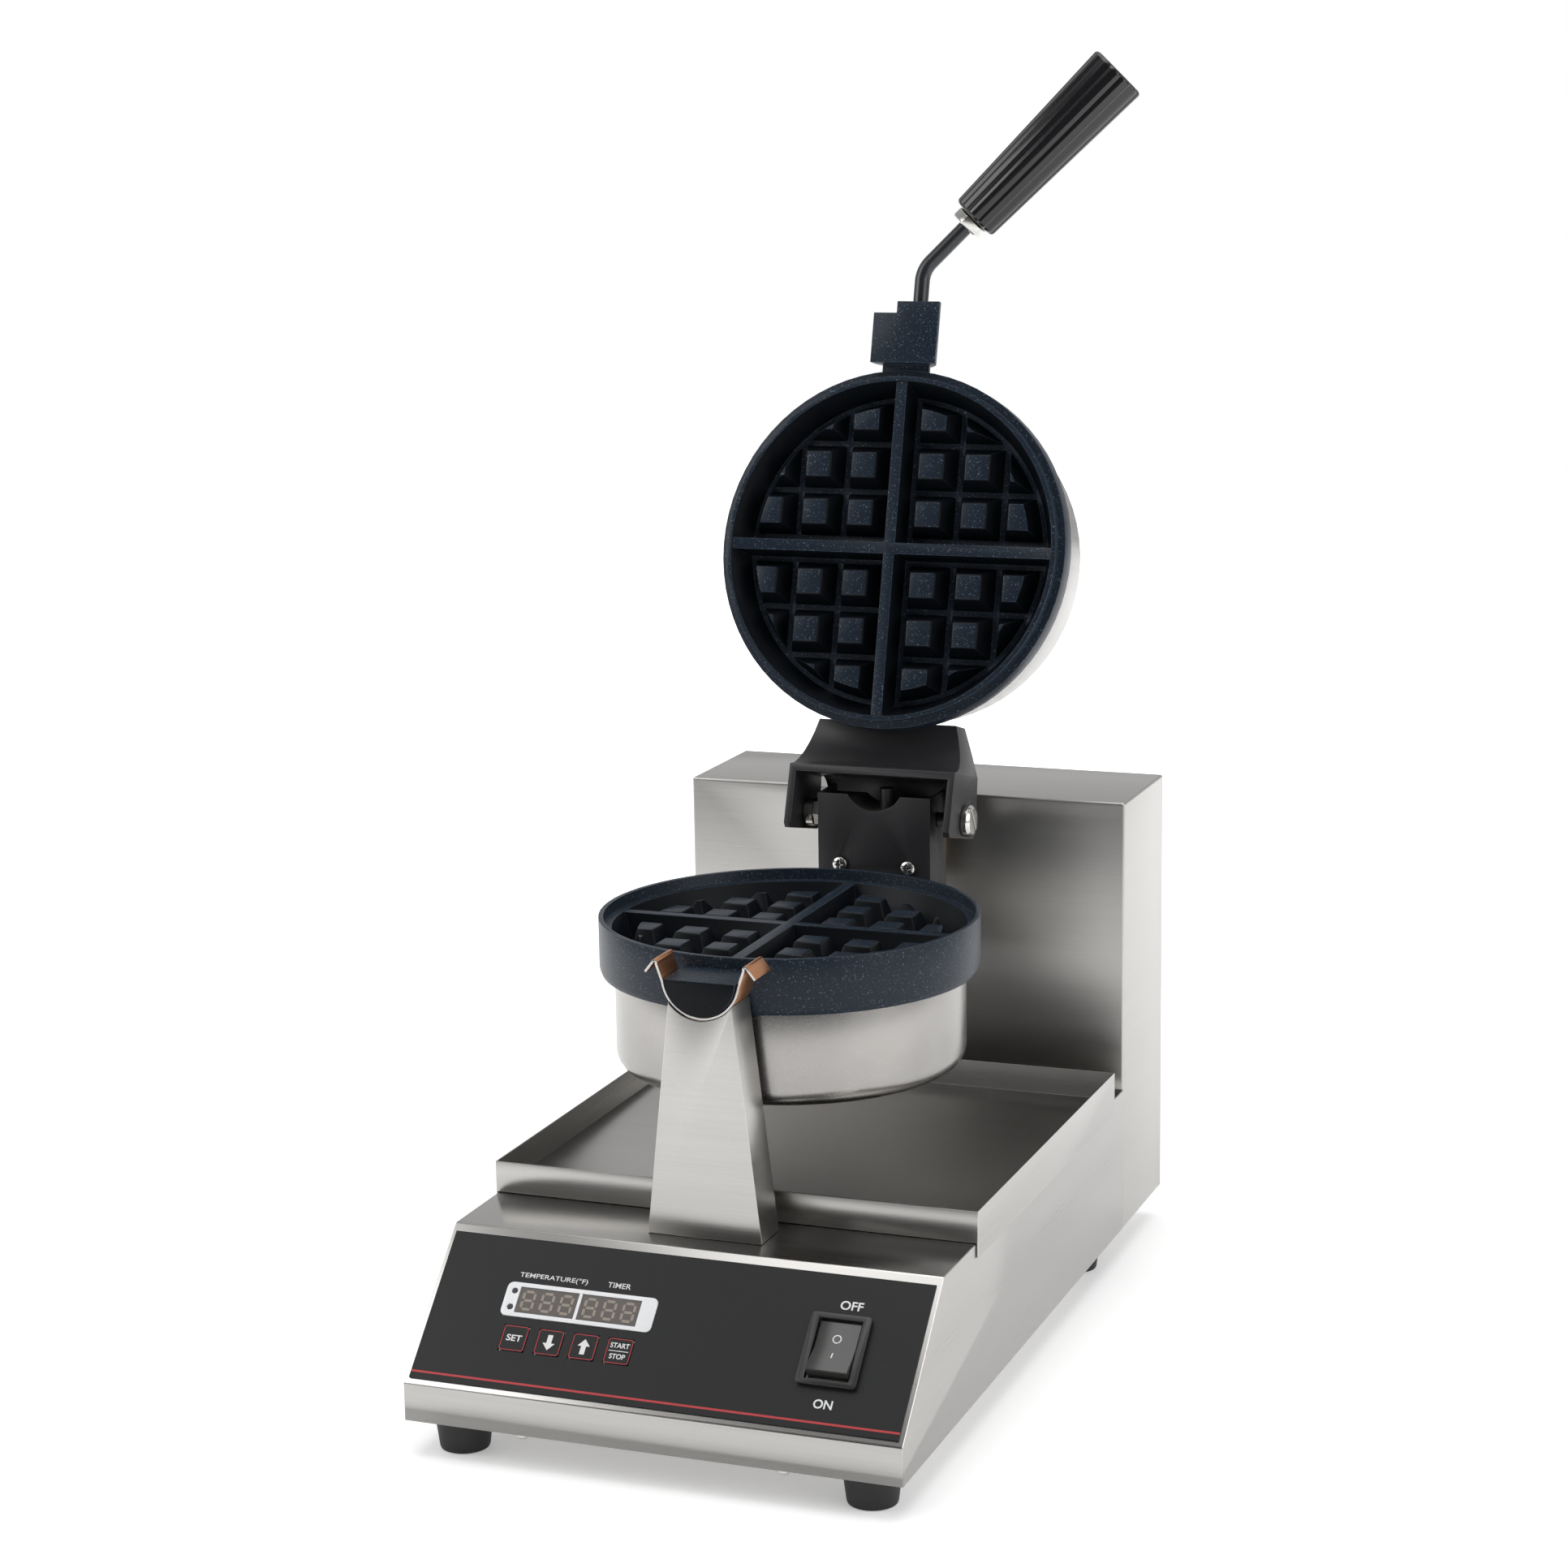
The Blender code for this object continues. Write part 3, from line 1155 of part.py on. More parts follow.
def handle_rod():
    """Bent steel bar from the block into the grip."""
    corner = handle_corner()
    way = handle_direction()
    reach = ROD_BEND_R * sin(ROD_BEND / 2) / cos(ROD_BEND / 2)
    bend = []
    for i in range(9):
        a = ROD_BEND * i / 8
        bend.append(corner + Vector((ROD_BEND_R * (1 - cos(a)), reach - ROD_BEND_R * sin(a), 0)))
    start = Vector((ROD_X, FRONT_Y + BLOCK_FRONT + ROD_SEAT, corner.z))
    end = corner + way * (NUT_AT + NUT_T + GAP + GRIP_BORE_D - 0.001)
    made = rod("handle_rod", [start] + bend + [end], ROD_R, resolution=4)
    return dress(made, black_paint())


def along_handle(made, distance):
    """Stand a turned piece on the handle's axis, its +Z pointing to the tip."""
    made.location = handle_corner() + handle_direction() * distance
    made.rotation_euler = handle_direction().to_track_quat('Z', 'Y').to_euler()


def handle_nut():
    made = hex_nut("handle_nut", NUT_AF, ROD_R, 0, NUT_T)
    along_handle(made, NUT_AT)
    return dress(made, bright_zinc())


def handle_grip():
    bore = ROD_R + GAP
    profile = [(0, GRIP_BORE_D), (bore, GRIP_BORE_D), (bore, 0), (GRIP_R - GRIP_EDGE, 0), (GRIP_R, GRIP_EDGE),
               (GRIP_TIP_R, GRIP_L - GRIP_EDGE), (GRIP_TIP_R - GRIP_EDGE, GRIP_L), (0, GRIP_L)]
    made = bake(turned("handle_grip", profile, 32))
    along_handle(made, NUT_AT + NUT_T + GAP)
    return dress(made, black_plastic())


# ---------------------------------------------------------------- assembly
def build():
    clear_scene()
    make_collection("part", "waffle_maker")
    make_collection("cutters", "cutters")

    base_housing()
    tower_housing()
    bottom_plate()
    feet()
    control_overlay()
    display_parts()
    keys()
    switch_bezel()
    switch_rocker()
    control_board()
    relay_board()
    terminal_block()
    power_inlet()
    front_post()
    cradle_liner()
    drip_tray()

    moving_shaft, fixed_bearing = shaft_parts()
    lower = [lower_plate(), lower_cover(), heater("lower_heater", -1), sensor("lower_sensor", -1),
             hinge_housing(), pivot_block()] + hinge_fasteners() + moving_shaft
    upper = [upper_plate(), upper_cover(), heater("upper_heater", 1), sensor("upper_sensor", 1),
             lid_bracket(), handle_rod(), handle_nut(), handle_grip()]

    tilt = pivot("tilt_axis", (0, PLATE_Y, FLIP_Z))
    carry(tilt, lower)
    hinge = pivot("lid_axis", (0, HINGE_Y, HINGE_Z))
    carry(hinge, upper)
    hinge.rotation_euler = (-LID_OPEN, 0, 0)
    bpy.context.view_layer.update()


build()
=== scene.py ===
"""Looks of a rotary waffle maker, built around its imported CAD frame.

Metres, +X to the user's right, +Y to the back, +Z up, z = 0 on the counter. The lid is stored open.
"""
import json
from math import atan2, cos, pi, radians, sin

import bpy
from mathutils import Matrix, Vector


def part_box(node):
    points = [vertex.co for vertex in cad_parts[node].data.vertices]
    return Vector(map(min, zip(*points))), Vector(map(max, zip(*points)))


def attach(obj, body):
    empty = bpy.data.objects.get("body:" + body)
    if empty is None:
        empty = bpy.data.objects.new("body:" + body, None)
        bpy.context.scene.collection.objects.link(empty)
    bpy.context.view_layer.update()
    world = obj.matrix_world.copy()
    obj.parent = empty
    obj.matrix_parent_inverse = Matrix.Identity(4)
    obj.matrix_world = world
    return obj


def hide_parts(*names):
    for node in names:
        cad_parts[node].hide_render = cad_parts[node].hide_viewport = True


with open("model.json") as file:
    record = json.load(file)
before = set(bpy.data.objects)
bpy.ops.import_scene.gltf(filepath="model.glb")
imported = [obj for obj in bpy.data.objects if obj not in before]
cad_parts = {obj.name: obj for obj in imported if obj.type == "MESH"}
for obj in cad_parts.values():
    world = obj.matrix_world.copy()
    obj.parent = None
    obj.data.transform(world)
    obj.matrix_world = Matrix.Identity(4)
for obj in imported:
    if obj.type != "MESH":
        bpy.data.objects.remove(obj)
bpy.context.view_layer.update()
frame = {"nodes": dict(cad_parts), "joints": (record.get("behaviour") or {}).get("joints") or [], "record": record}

# ---------------------------------------------------------------- counter, light and viewpoint
# A pale counter in a white room. It glows less under the object, so that soft shadows show there.
# Broad soft lights stand on the left, on the right and above, and the front of the room is
# dimmer, so polished faces pick up soft gradients.


def two_stops(tree, low, first, high, second):
    """A colour ramp from one grey or colour at a low place to another at a high place."""
    node = tree.nodes.new("ShaderNodeValToRGB")
    start, end = node.color_ramp.elements
    start.position, end.position = low, high
    start.color, end.color = (*first, 1), (*second, 1)
    return node


bpy.ops.mesh.primitive_plane_add(size=8, location=(0, 0, 0))
counter = bpy.context.object
counter.name = "counter"
pale = bpy.data.materials.new("pale_counter")
pale.use_nodes = True
pale_tree = pale.node_tree
pale_shader = pale_tree.nodes["Principled BSDF"]
pale_shader.inputs["Base Color"].default_value = (0.93, 0.93, 0.93, 1)
pale_shader.inputs["Roughness"].default_value = 0.6
pale_shader.inputs["Emission Strength"].default_value = 1.0
spot = pale_tree.nodes.new("ShaderNodeTexCoord")
shrink = pale_tree.nodes.new("ShaderNodeMapping")
shrink.inputs["Scale"].default_value = (0.45, 0.45, 0.45)
pale_tree.links.new(spot.outputs["Object"], shrink.inputs["Vector"])
near = pale_tree.nodes.new("ShaderNodeTexGradient")
near.gradient_type = 'SPHERICAL'
pale_tree.links.new(shrink.outputs["Vector"], near.inputs["Vector"])
glow = two_stops(pale_tree, 0.25, (1, 1, 1), 0.85, (0.3, 0.3, 0.3))
pale_tree.links.new(near.outputs["Fac"], glow.inputs["Fac"])
pale_tree.links.new(glow.outputs["Color"], pale_shader.inputs["Emission Color"])
counter.data.materials.append(pale)

scene = bpy.context.scene
scene.view_settings.view_transform = 'Standard'
room = bpy.data.worlds.new("white_room")
room.use_nodes = True
scene.world = room
sky = room.node_tree.nodes
sky_links = room.node_tree.links
backdrop = sky["Background"]
backdrop.inputs["Color"].default_value = (1, 1, 1, 1)
backdrop.inputs["Strength"].default_value = 1.0
dim = sky.new("ShaderNodeBackground")
dim.inputs["Strength"].default_value = 0.62
heading = sky.new("ShaderNodeTexCoord")
split = sky.new("ShaderNodeSeparateXYZ")
sky_links.new(heading.outputs["Generated"], split.inputs["Vector"])
ramp = two_stops(room.node_tree, 0.15, (0.16, 0.16, 0.165), 0.75, (1, 1, 1))
spread = sky.new("ShaderNodeMapRange")
spread.inputs["From Min"].default_value = -1
spread.inputs["From Max"].default_value = 1
sky_links.new(split.outputs["Y"], spread.inputs["Value"])
sky_links.new(spread.outputs["Result"], ramp.inputs["Fac"])
sky_links.new(ramp.outputs["Color"], dim.inputs["Color"])
seen = sky.new("ShaderNodeLightPath")
either = sky.new("ShaderNodeMixShader")
sky_links.new(seen.outputs["Is Camera Ray"], either.inputs["Fac"])
sky_links.new(dim.outputs["Background"], either.inputs[1])
sky_links.new(backdrop.outputs["Background"], either.inputs[2])
sky_links.new(either.outputs["Shader"], sky["World Output"].inputs["Surface"])

for name, place, aim, size, watts in (
        ("left_softbox", (-1.9, -1.1, 1.5), (0, 0, 0.25), 1.5, 26),
        ("right_softbox", (2.1, -0.5, 1.2), (0, 0, 0.25), 1.6, 20),
        ("top_softbox", (0, 0.1, 2.3), (0, 0, 0), 2.0, 30)):
    bpy.ops.object.light_add(type='AREA', location=place)
    lamp = bpy.context.object
    lamp.name = name
    lamp.data.size = size
    lamp.data.energy = watts
    lamp.rotation_euler = (Vector(aim) - Vector(place)).to_track_quat('-Z', 'Y').to_euler()

bpy.ops.object.camera_add(location=(0.6224, -1.6613, 0.6673))
camera = bpy.context.object
camera.data.sensor_width = 36
camera.data.lens = 78.93
AROUND, ABOVE, ROLL = radians(20.974), radians(11.6985), radians(-0.9375)
heading_turn = Matrix.Rotation(AROUND, 3, 'Z') @ Matrix.Rotation(pi / 2 - ABOVE, 3, 'X')
camera.rotation_euler = (heading_turn @ Matrix.Rotation(ROLL, 3, 'Z')).to_euler()
scene.camera = camera

# ---------------------------------------------------------------- low housing
# Brushed stainless sheet folded into a lip, a sloped control panel, a deck and two sides, open
# underneath. The brush lines run across the front and along the sides.


def only(piece):
    """Leaves one piece selected and active."""
    bpy.ops.object.select_all(action='DESELECT')
    piece.select_set(True)
    bpy.context.view_layer.objects.active = piece
    return piece


def block(name, low, high):
    """A block between two corners, with its place in its mesh."""
    low, high = Vector(low), Vector(high)
    bpy.ops.object.select_all(action='DESELECT')
    bpy.ops.mesh.primitive_cube_add(size=1, location=(low + high) / 2, scale=high - low)
    piece = bpy.context.object
    piece.name = name
    bpy.ops.object.transform_apply()
    return piece


def pick(piece, faces=None, edges=None):
    """Opens a piece for editing with the faces or the edges that pass a test selected."""
    only(piece)
    bpy.ops.object.mode_set(mode='EDIT')
    bpy.ops.mesh.select_mode(type='FACE' if faces else 'EDGE')
    bpy.ops.mesh.select_all(action='DESELECT')
    bpy.ops.object.mode_set(mode='OBJECT')
    for face in piece.data.polygons:
        face.select = bool(faces and faces(face.center, face.normal))
    if edges:
        for edge in piece.data.edges:
            ends = [piece.data.vertices[i].co for i in edge.vertices]
            edge.select = edges(*ends)
    bpy.ops.object.mode_set(mode='EDIT')


def done():
    """Ends the editing of a piece."""
    bpy.ops.object.mode_set(mode='OBJECT')


def modify(piece, kind, **values):
    """Adds a modifier with its values and applies it."""
    only(piece)
    step = piece.modifiers.new(kind.lower(), kind)
    for key, value in values.items():
        setattr(step, key, value)
    bpy.ops.object.modifier_apply(modifier=step.name)
    return piece


def smooth(piece, angle=40):
    """Smooths the shading over edges blunter than an angle in degrees."""
    only(piece)
    bpy.ops.object.shade_smooth_by_angle(angle=radians(angle))
    return piece


def soften(piece, width, segments=3, angle=35):
    """Rounds the edges sharper than an angle in degrees and smooths the shading between them."""
    modify(piece, 'BEVEL', width=width, segments=segments, limit_method='ANGLE',
           angle_limit=radians(angle))
    return smooth(piece, angle)


def cut(piece, *cutters):
    """Takes other blocks out of a piece."""
    for cutter in cutters:
        modify(piece, 'BOOLEAN', object=cutter, operation='DIFFERENCE', solver='EXACT')
        bpy.data.objects.remove(cutter)
    return piece


def fasten(piece, body, finish, slot, *nodes):
    """Gives a piece its finish, its body and the CAD nodes that it stands for."""
    piece.data.materials.clear()
    piece.data.materials.append(finish)
    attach(piece, body)
    if nodes:
        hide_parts(*nodes)
    return piece


def node_group(name, inputs, outputs):
    """An empty shader group with named inputs and outputs."""
    group = bpy.data.node_groups.new(name, 'ShaderNodeTree')
    for label, kind, value in inputs:
        socket = group.interface.new_socket(label, in_out='INPUT', socket_type=kind)
        if value is not None:
            socket.default_value = value
    for label, kind in outputs:
        group.interface.new_socket(label, in_out='OUTPUT', socket_type=kind)
    return group, group.nodes.new("NodeGroupInput"), group.nodes.new("NodeGroupOutput")


def brushing_group():
    """Long fine scratches along the pattern's X, with slow drifts of tone between them."""
    group, given, made = node_group("brushing", [("Vector", 'NodeSocketVector', None)],
                                    [("Shade", 'NodeSocketFloat'), ("Height", 'NodeSocketFloat')])
    link = group.links.new
    fine = group.nodes.new("ShaderNodeMapping")
    fine.inputs["Scale"].default_value = (14, 1900, 1900)
    link(given.outputs["Vector"], fine.inputs["Vector"])
    lines = group.nodes.new("ShaderNodeTexNoise")
    lines.inputs["Scale"].default_value = 1
    lines.inputs["Detail"].default_value = 3
    link(fine.outputs["Vector"], lines.inputs["Vector"])
    broad = group.nodes.new("ShaderNodeMapping")
    broad.inputs["Scale"].default_value = (3, 90, 90)
    link(given.outputs["Vector"], broad.inputs["Vector"])
    drift = group.nodes.new("ShaderNodeTexNoise")
    drift.inputs["Scale"].default_value = 1
    drift.inputs["Detail"].default_value = 2
    link(broad.outputs["Vector"], drift.inputs["Vector"])
    both = group.nodes.new("ShaderNodeMath")
    both.operation = 'MULTIPLY_ADD'
    both.inputs[1].default_value = 0.65
    link(lines.outputs["Fac"], both.inputs[0])
    part = group.nodes.new("ShaderNodeMath")
    part.operation = 'MULTIPLY'
    part.inputs[1].default_value = 0.35
    link(drift.outputs["Fac"], part.inputs[0])
    link(part.outputs["Value"], both.inputs[2])
    link(both.outputs["Value"], made.inputs["Shade"])
    link(lines.outputs["Fac"], made.inputs["Height"])
    return group


def edge_wear_group():
    """Bright where a face meets a sharp corner, broken up so that it doesn't look drawn."""
    group, given, made = node_group("edge_wear", [("Width", 'NodeSocketFloat', 0.0006),
                                                  ("Reach", 'NodeSocketFloat', 0.5)],
                                    [("Mask", 'NodeSocketFloat')])
    link = group.links.new
    rounded = group.nodes.new("ShaderNodeBevel")
    rounded.samples = 4
    link(given.outputs["Width"], rounded.inputs["Radius"])
    face = group.nodes.new("ShaderNodeNewGeometry")
    dot = group.nodes.new("ShaderNodeVectorMath")
    dot.operation = 'DOT_PRODUCT'
    link(rounded.outputs["Normal"], dot.inputs[0])
    link(face.outputs["Normal"], dot.inputs[1])
    sharp = group.nodes.new("ShaderNodeMapRange")
    sharp.inputs["From Min"].default_value = 0.995
    sharp.inputs["From Max"].default_value = 0.86
    link(dot.outputs["Value"], sharp.inputs["Value"])
    spots = group.nodes.new("ShaderNodeTexNoise")
    spots.inputs["Scale"].default_value = 160
    place = group.nodes.new("ShaderNodeTexCoord")
    link(place.outputs["Object"], spots.inputs["Vector"])
    broken = group.nodes.new("ShaderNodeMath")
    broken.operation = 'MULTIPLY'
    link(sharp.outputs["Result"], broken.inputs[0])
    link(spots.outputs["Fac"], broken.inputs[1])
    reach = group.nodes.new("ShaderNodeMath")
    reach.operation = 'MULTIPLY'
    link(broken.outputs["Value"], reach.inputs[0])
    link(given.outputs["Reach"], reach.inputs[1])
    link(reach.outputs["Value"], made.inputs["Mask"])
    return group


brushing = brushing_group()
edge_wear = edge_wear_group()
SCRATCH = 0.00001                    # depth of the brush lines


def place_group(tree, group):
    """A shared group set down in a material."""
    node = tree.nodes.new("ShaderNodeGroup")
    node.node_tree = group
    return node


def pattern_place(tree, turn=(0, 0, 0)):
    """Object coordinates, turned for a pattern."""
    start = tree.nodes.new("ShaderNodeTexCoord")
    move = tree.nodes.new("ShaderNodeMapping")
    move.vector_type = 'TEXTURE'
    move.inputs["Rotation"].default_value = turn
    tree.links.new(start.outputs["Object"], move.inputs["Vector"])
    return move.outputs["Vector"]


def span(tree, value, low, high):
    """A 0 to 1 value spread over another range."""
    node = tree.nodes.new("ShaderNodeMapRange")
    node.inputs["To Min"].default_value = low
    node.inputs["To Max"].default_value = high
    tree.links.new(value, node.inputs["Value"])
    return node.outputs["Result"]


def blend(tree, mask, first, second):
    """Two colours, or sockets of colour, mixed by a mask."""
    node = tree.nodes.new("ShaderNodeMix")
    node.data_type = 'RGBA'
    tree.links.new(mask, node.inputs["Factor"])
    for socket, colour in ((node.inputs[6], first), (node.inputs[7], second)):
        if isinstance(colour, bpy.types.NodeSocket):
            tree.links.new(colour, socket)
        else:
            socket.default_value = (*colour, 1)
    return node.outputs[2]


def bump(tree, height, distance, strength=1.0):
    """The normal of a surface raised by a height."""
    node = tree.nodes.new("ShaderNodeBump")
    node.inputs["Distance"].default_value = distance
    node.inputs["Strength"].default_value = strength
    tree.links.new(height, node.inputs["Height"])
    return node.outputs["Normal"]


def new_finish(name, **values):
    """A material, its tree and its shader with the plain values set."""
    finish = bpy.data.materials.new(name)
    finish.use_nodes = True
    shader = finish.node_tree.nodes["Principled BSDF"]
    for key, value in values.items():
        shader.inputs[key.replace("_", " ")].default_value = value
    return finish, finish.node_tree, shader


def brushed(name, turn=(0, 0, 0), dark=(0.37, 0.36, 0.345), light=(0.49, 0.48, 0.465), rough=(0.24, 0.34),
            stretch=0.0):
    """Metal brushed along one direction, with bright worn corners."""
    finish, tree, shader = new_finish(name, Metallic=1.0, Anisotropic=stretch)
    lines = place_group(tree, brushing)
    tree.links.new(pattern_place(tree, turn), lines.inputs["Vector"])
    wear = place_group(tree, edge_wear)
    wear.inputs["Reach"].default_value = 0.9
    tone = blend(tree, lines.outputs["Shade"], dark, light)
    worn = blend(tree, wear.outputs["Mask"], tone, (0.86, 0.85, 0.83))
    tree.links.new(worn, shader.inputs["Base Color"])
    tree.links.new(span(tree, lines.outputs["Shade"], *rough), shader.inputs["Roughness"])
    tree.links.new(bump(tree, lines.outputs["Height"], SCRATCH, 0.5), shader.inputs["Normal"])
    return finish


steel_across = brushed("steel_brushed_across", stretch=0.5)
steel_along = brushed("steel_brushed_along", (0, 0, pi / 2), stretch=0.5)
steel_level = brushed("steel_brushed_level", rough=(0.18, 0.28))


def lay_grain(piece):
    """Brush lines across the faces that look forward, along sideways ones, finer on level ones."""
    piece.data.materials.append(steel_along)
    piece.data.materials.append(steel_level)
    for face in piece.data.polygons:
        face.material_index = 1 if abs(face.normal.x) > 0.7 else 2 if abs(face.normal.z) > 0.9 else 0


base_low, base_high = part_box("base_housing")
SLOPE_RISE, SLOPE_RUN = 0.0623, 0.0637
SLOPE = atan2(SLOPE_RISE, SLOPE_RUN)  # control slope above level
LIP_HEIGHT = 0.0195
SHEET = 0.0012
slope_up = Vector((0, cos(SLOPE), sin(SLOPE)))
slope_out = Vector((0, -sin(SLOPE), cos(SLOPE)))
slope_foot = Vector((0, base_low.y, base_low.z + LIP_HEIGHT))

housing = block("housing_shell", base_low, base_high)
pick(housing, faces=lambda centre, normal: True)
bpy.ops.mesh.bisect(plane_co=slope_foot, plane_no=slope_out, use_fill=True, clear_outer=True)
done()
pick(housing, faces=lambda centre, normal: normal.z < -0.9 or normal.y > 0.9)
bpy.ops.mesh.delete(type='FACE')
done()
soften(housing, 0.0008, 3, 20)
modify(housing, 'SOLIDIFY', thickness=SHEET, offset=-1, use_even_offset=True)
fasten(housing, "base", steel_across, "brushed_steel", "base_housing")
lay_grain(housing)

# ---------------------------------------------------------------- rear tower
# A taller box of the same sheet behind the housing, with a round hole in its front for the tilt
# shaft and a square one in its back for the mains inlet.
tower_low, tower_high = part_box("tower_housing")
shaft_low, shaft_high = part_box("tilt_shaft")
shaft_z = (shaft_low.z + shaft_high.z) / 2
inlet_low, inlet_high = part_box("power_inlet")
SHAFT_HOLE_R = 0.0184
INLET_LIP = Vector((0.006, 0, 0.002))  # how far the inlet's flange covers the sheet round its hole
THROUGH = Vector((0, 0.01, 0))         # how far a cutter reaches past the sheet
tower = block("tower_shell", tower_low, tower_high)
pick(tower, faces=lambda centre, normal: normal.z < -0.9)
bpy.ops.mesh.delete(type='FACE')
done()
soften(tower, 0.0016, 4, 20)
modify(tower, 'SOLIDIFY', thickness=SHEET, offset=-1, use_even_offset=True)
bpy.ops.mesh.primitive_cylinder_add(vertices=64, radius=SHAFT_HOLE_R, depth=2 * THROUGH.y,
                                    rotation=(pi / 2, 0, 0), location=(0, tower_low.y, shaft_z))
shaft_hole = bpy.context.object
inlet_hole = block("inlet_hole", Vector((inlet_low.x, tower_high.y, inlet_low.z)) + INLET_LIP - THROUGH,
                   Vector((inlet_high.x, tower_high.y, inlet_high.z)) - INLET_LIP + THROUGH)
smooth(cut(tower, shaft_hole, inlet_hole), 30)
fasten(tower, "base", steel_across, "brushed_steel", "tower_housing")
lay_grain(tower)

# ---------------------------------------------------------------- drip tray
# A shallow pan of thin steel over the whole deck. Its low walls keep drips in, and two side
# flaps hang over the housing's edges to hold it in place.


def clone(node, name):
    """A merged copy of a CAD node, free to be shaped."""
    source = frame["nodes"][node]
    piece = bpy.data.objects.new(name, source.data.copy())
    bpy.context.scene.collection.objects.link(piece)
    pick(piece, faces=lambda centre, normal: True)
    bpy.ops.mesh.remove_doubles(threshold=0.000002)
    bpy.ops.mesh.customdata_custom_splitnormals_clear()
    bpy.ops.mesh.dissolve_limited(angle_limit=radians(0.5))
    done()
    return piece


tray = soften(clone("drip_tray", "tray_pan"), 0.0003, 2)
fasten(tray, "drip_tray", steel_across, "brushed_steel", "drip_tray")
lay_grain(tray)

# ---------------------------------------------------------------- front post
# A folded channel of thicker brushed steel, open at the back. It carries the round seat that
# the plates' front journal turns in.
post = soften(clone("front_post", "post_channel"), 0.0005, 3)
fasten(post, "base", steel_across, "brushed_steel", "front_post")
lay_grain(post)

# ---------------------------------------------------------------- seat liner
# A strip of coppered spring steel bent round the seat, with its two ends folded out and down.
# The front edge is bare steel, where the strip was cut.


def coppered():
    """Spring steel under a thin coat of copper, brushed along the strip."""
    finish, tree, shader = new_finish("coppered_strip", Metallic=1.0)
    lines = place_group(tree, brushing)
    tree.links.new(pattern_place(tree, (0, 0, pi / 2)), lines.inputs["Vector"])
    tone = blend(tree, lines.outputs["Shade"], (0.40, 0.17, 0.075), (0.74, 0.38, 0.21))
    tree.links.new(tone, shader.inputs["Base Color"])
    tree.links.new(span(tree, lines.outputs["Shade"], 0.25, 0.45), shader.inputs["Roughness"])
    tree.links.new(bump(tree, lines.outputs["Height"], SCRATCH), shader.inputs["Normal"])
    return finish


liner = soften(clone("cradle_liner", "seat_liner"), 0.00025, 2)
fasten(liner, "base", coppered(), "copper_liner", "cradle_liner")
liner.data.materials.append(steel_across)
for face in liner.data.polygons:
    face.material_index = int(face.normal.y < -0.8)

# ---------------------------------------------------------------- waffle plates
# Two cast plates under a blue-black speckled non-stick coat, with four quadrants of sloped
# pegs. The cast edges are softly rounded and worn a little brighter.


def speckle_group():
    """Fine pale flecks and a pebbled height, as in a sprayed coat."""
    group, given, made = node_group("speckle", [("Vector", 'NodeSocketVector', None),
                                                ("Scale", 'NodeSocketFloat', 900.0),
                                                ("Amount", 'NodeSocketFloat', 0.62)],
                                    [("Fleck", 'NodeSocketFloat'), ("Height", 'NodeSocketFloat')])
    link = group.links.new
    grain = group.nodes.new("ShaderNodeTexNoise")
    grain.inputs["Detail"].default_value = 2
    grain.inputs["Roughness"].default_value = 0.6
    link(given.outputs["Vector"], grain.inputs["Vector"])
    link(given.outputs["Scale"], grain.inputs["Scale"])
    over = group.nodes.new("ShaderNodeMath")
    over.operation = 'SUBTRACT'
    link(grain.outputs["Fac"], over.inputs[0])
    link(given.outputs["Amount"], over.inputs[1])
    fleck = group.nodes.new("ShaderNodeMath")
    fleck.operation = 'MULTIPLY'
    fleck.use_clamp = True
    fleck.inputs[1].default_value = 9
    link(over.outputs["Value"], fleck.inputs[0])
    link(fleck.outputs["Value"], made.inputs["Fleck"])
    link(grain.outputs["Fac"], made.inputs["Height"])
    return group


speckle = speckle_group()


def coated(name, base, fleck, worn, scale, amount, rough=(0.34, 0.5), depth=0.00005, reach=0.6,
           **values):
    """A coat or a moulding with fine flecks in its base colour and paler, worn corners.

    Scale sets how fine the flecks are, amount how rare, depth the height of the pebbled surface
    and reach how far the corners are worn.
    """
    finish, tree, shader = new_finish(name, **values)
    spots = place_group(tree, speckle)
    spots.inputs["Scale"].default_value = scale
    spots.inputs["Amount"].default_value = amount
    tree.links.new(pattern_place(tree), spots.inputs["Vector"])
    wear = place_group(tree, edge_wear)
    wear.inputs["Reach"].default_value = reach
    flecked = blend(tree, spots.outputs["Fleck"], base, fleck)
    tree.links.new(blend(tree, wear.outputs["Mask"], flecked, worn), shader.inputs["Base Color"])
    tree.links.new(span(tree, spots.outputs["Height"], *rough), shader.inputs["Roughness"])
    tree.links.new(bump(tree, spots.outputs["Height"], depth), shader.inputs["Normal"])
    return finish


def joint_place(name):
    """The place of a joint of the frame."""
    return Vector(next(joint for joint in frame["joints"] if joint["name"] == name)["pos_m"])


nonstick = coated("nonstick_speckled", (0.0085, 0.0145, 0.0235), (0.13, 0.17, 0.22),
                  (0.10, 0.13, 0.17), 1100, 0.62, (0.3, 0.42), 0.00004, 0.9,
                  Specular_IOR_Level=0.2)
# Painted shade: a darker copy of the non-stick coat, for the faces in the mould and the journal end that stand in
# shadow.
nonstick_painted_shade = coated("nonstick_painted_shade", (0.0022, 0.0032, 0.0050), (0.03, 0.04, 0.05),
                       (0.05, 0.065, 0.085), 1300, 0.68, (0.34, 0.46), 0.00004, 0.9,
                       Specular_IOR_Level=0.12)
tilt_place = joint_place("plates_tilt")
hinge_place = joint_place("lid_hinge")
LID_SWING = radians(105.5)           # from the shut lid to the open one
opened = (Matrix.Translation(hinge_place) @ Matrix.Rotation(-LID_SWING, 4, 'X')
          @ Matrix.Translation(-hinge_place))
PEG_TOP = 0.0035                     # peg tops below the tilt axis, or above it in the shut lid
PEG_ROUNDING = 0.0011
PEG_FIELD_R = 0.078                  # whole pegs stand inside this radius
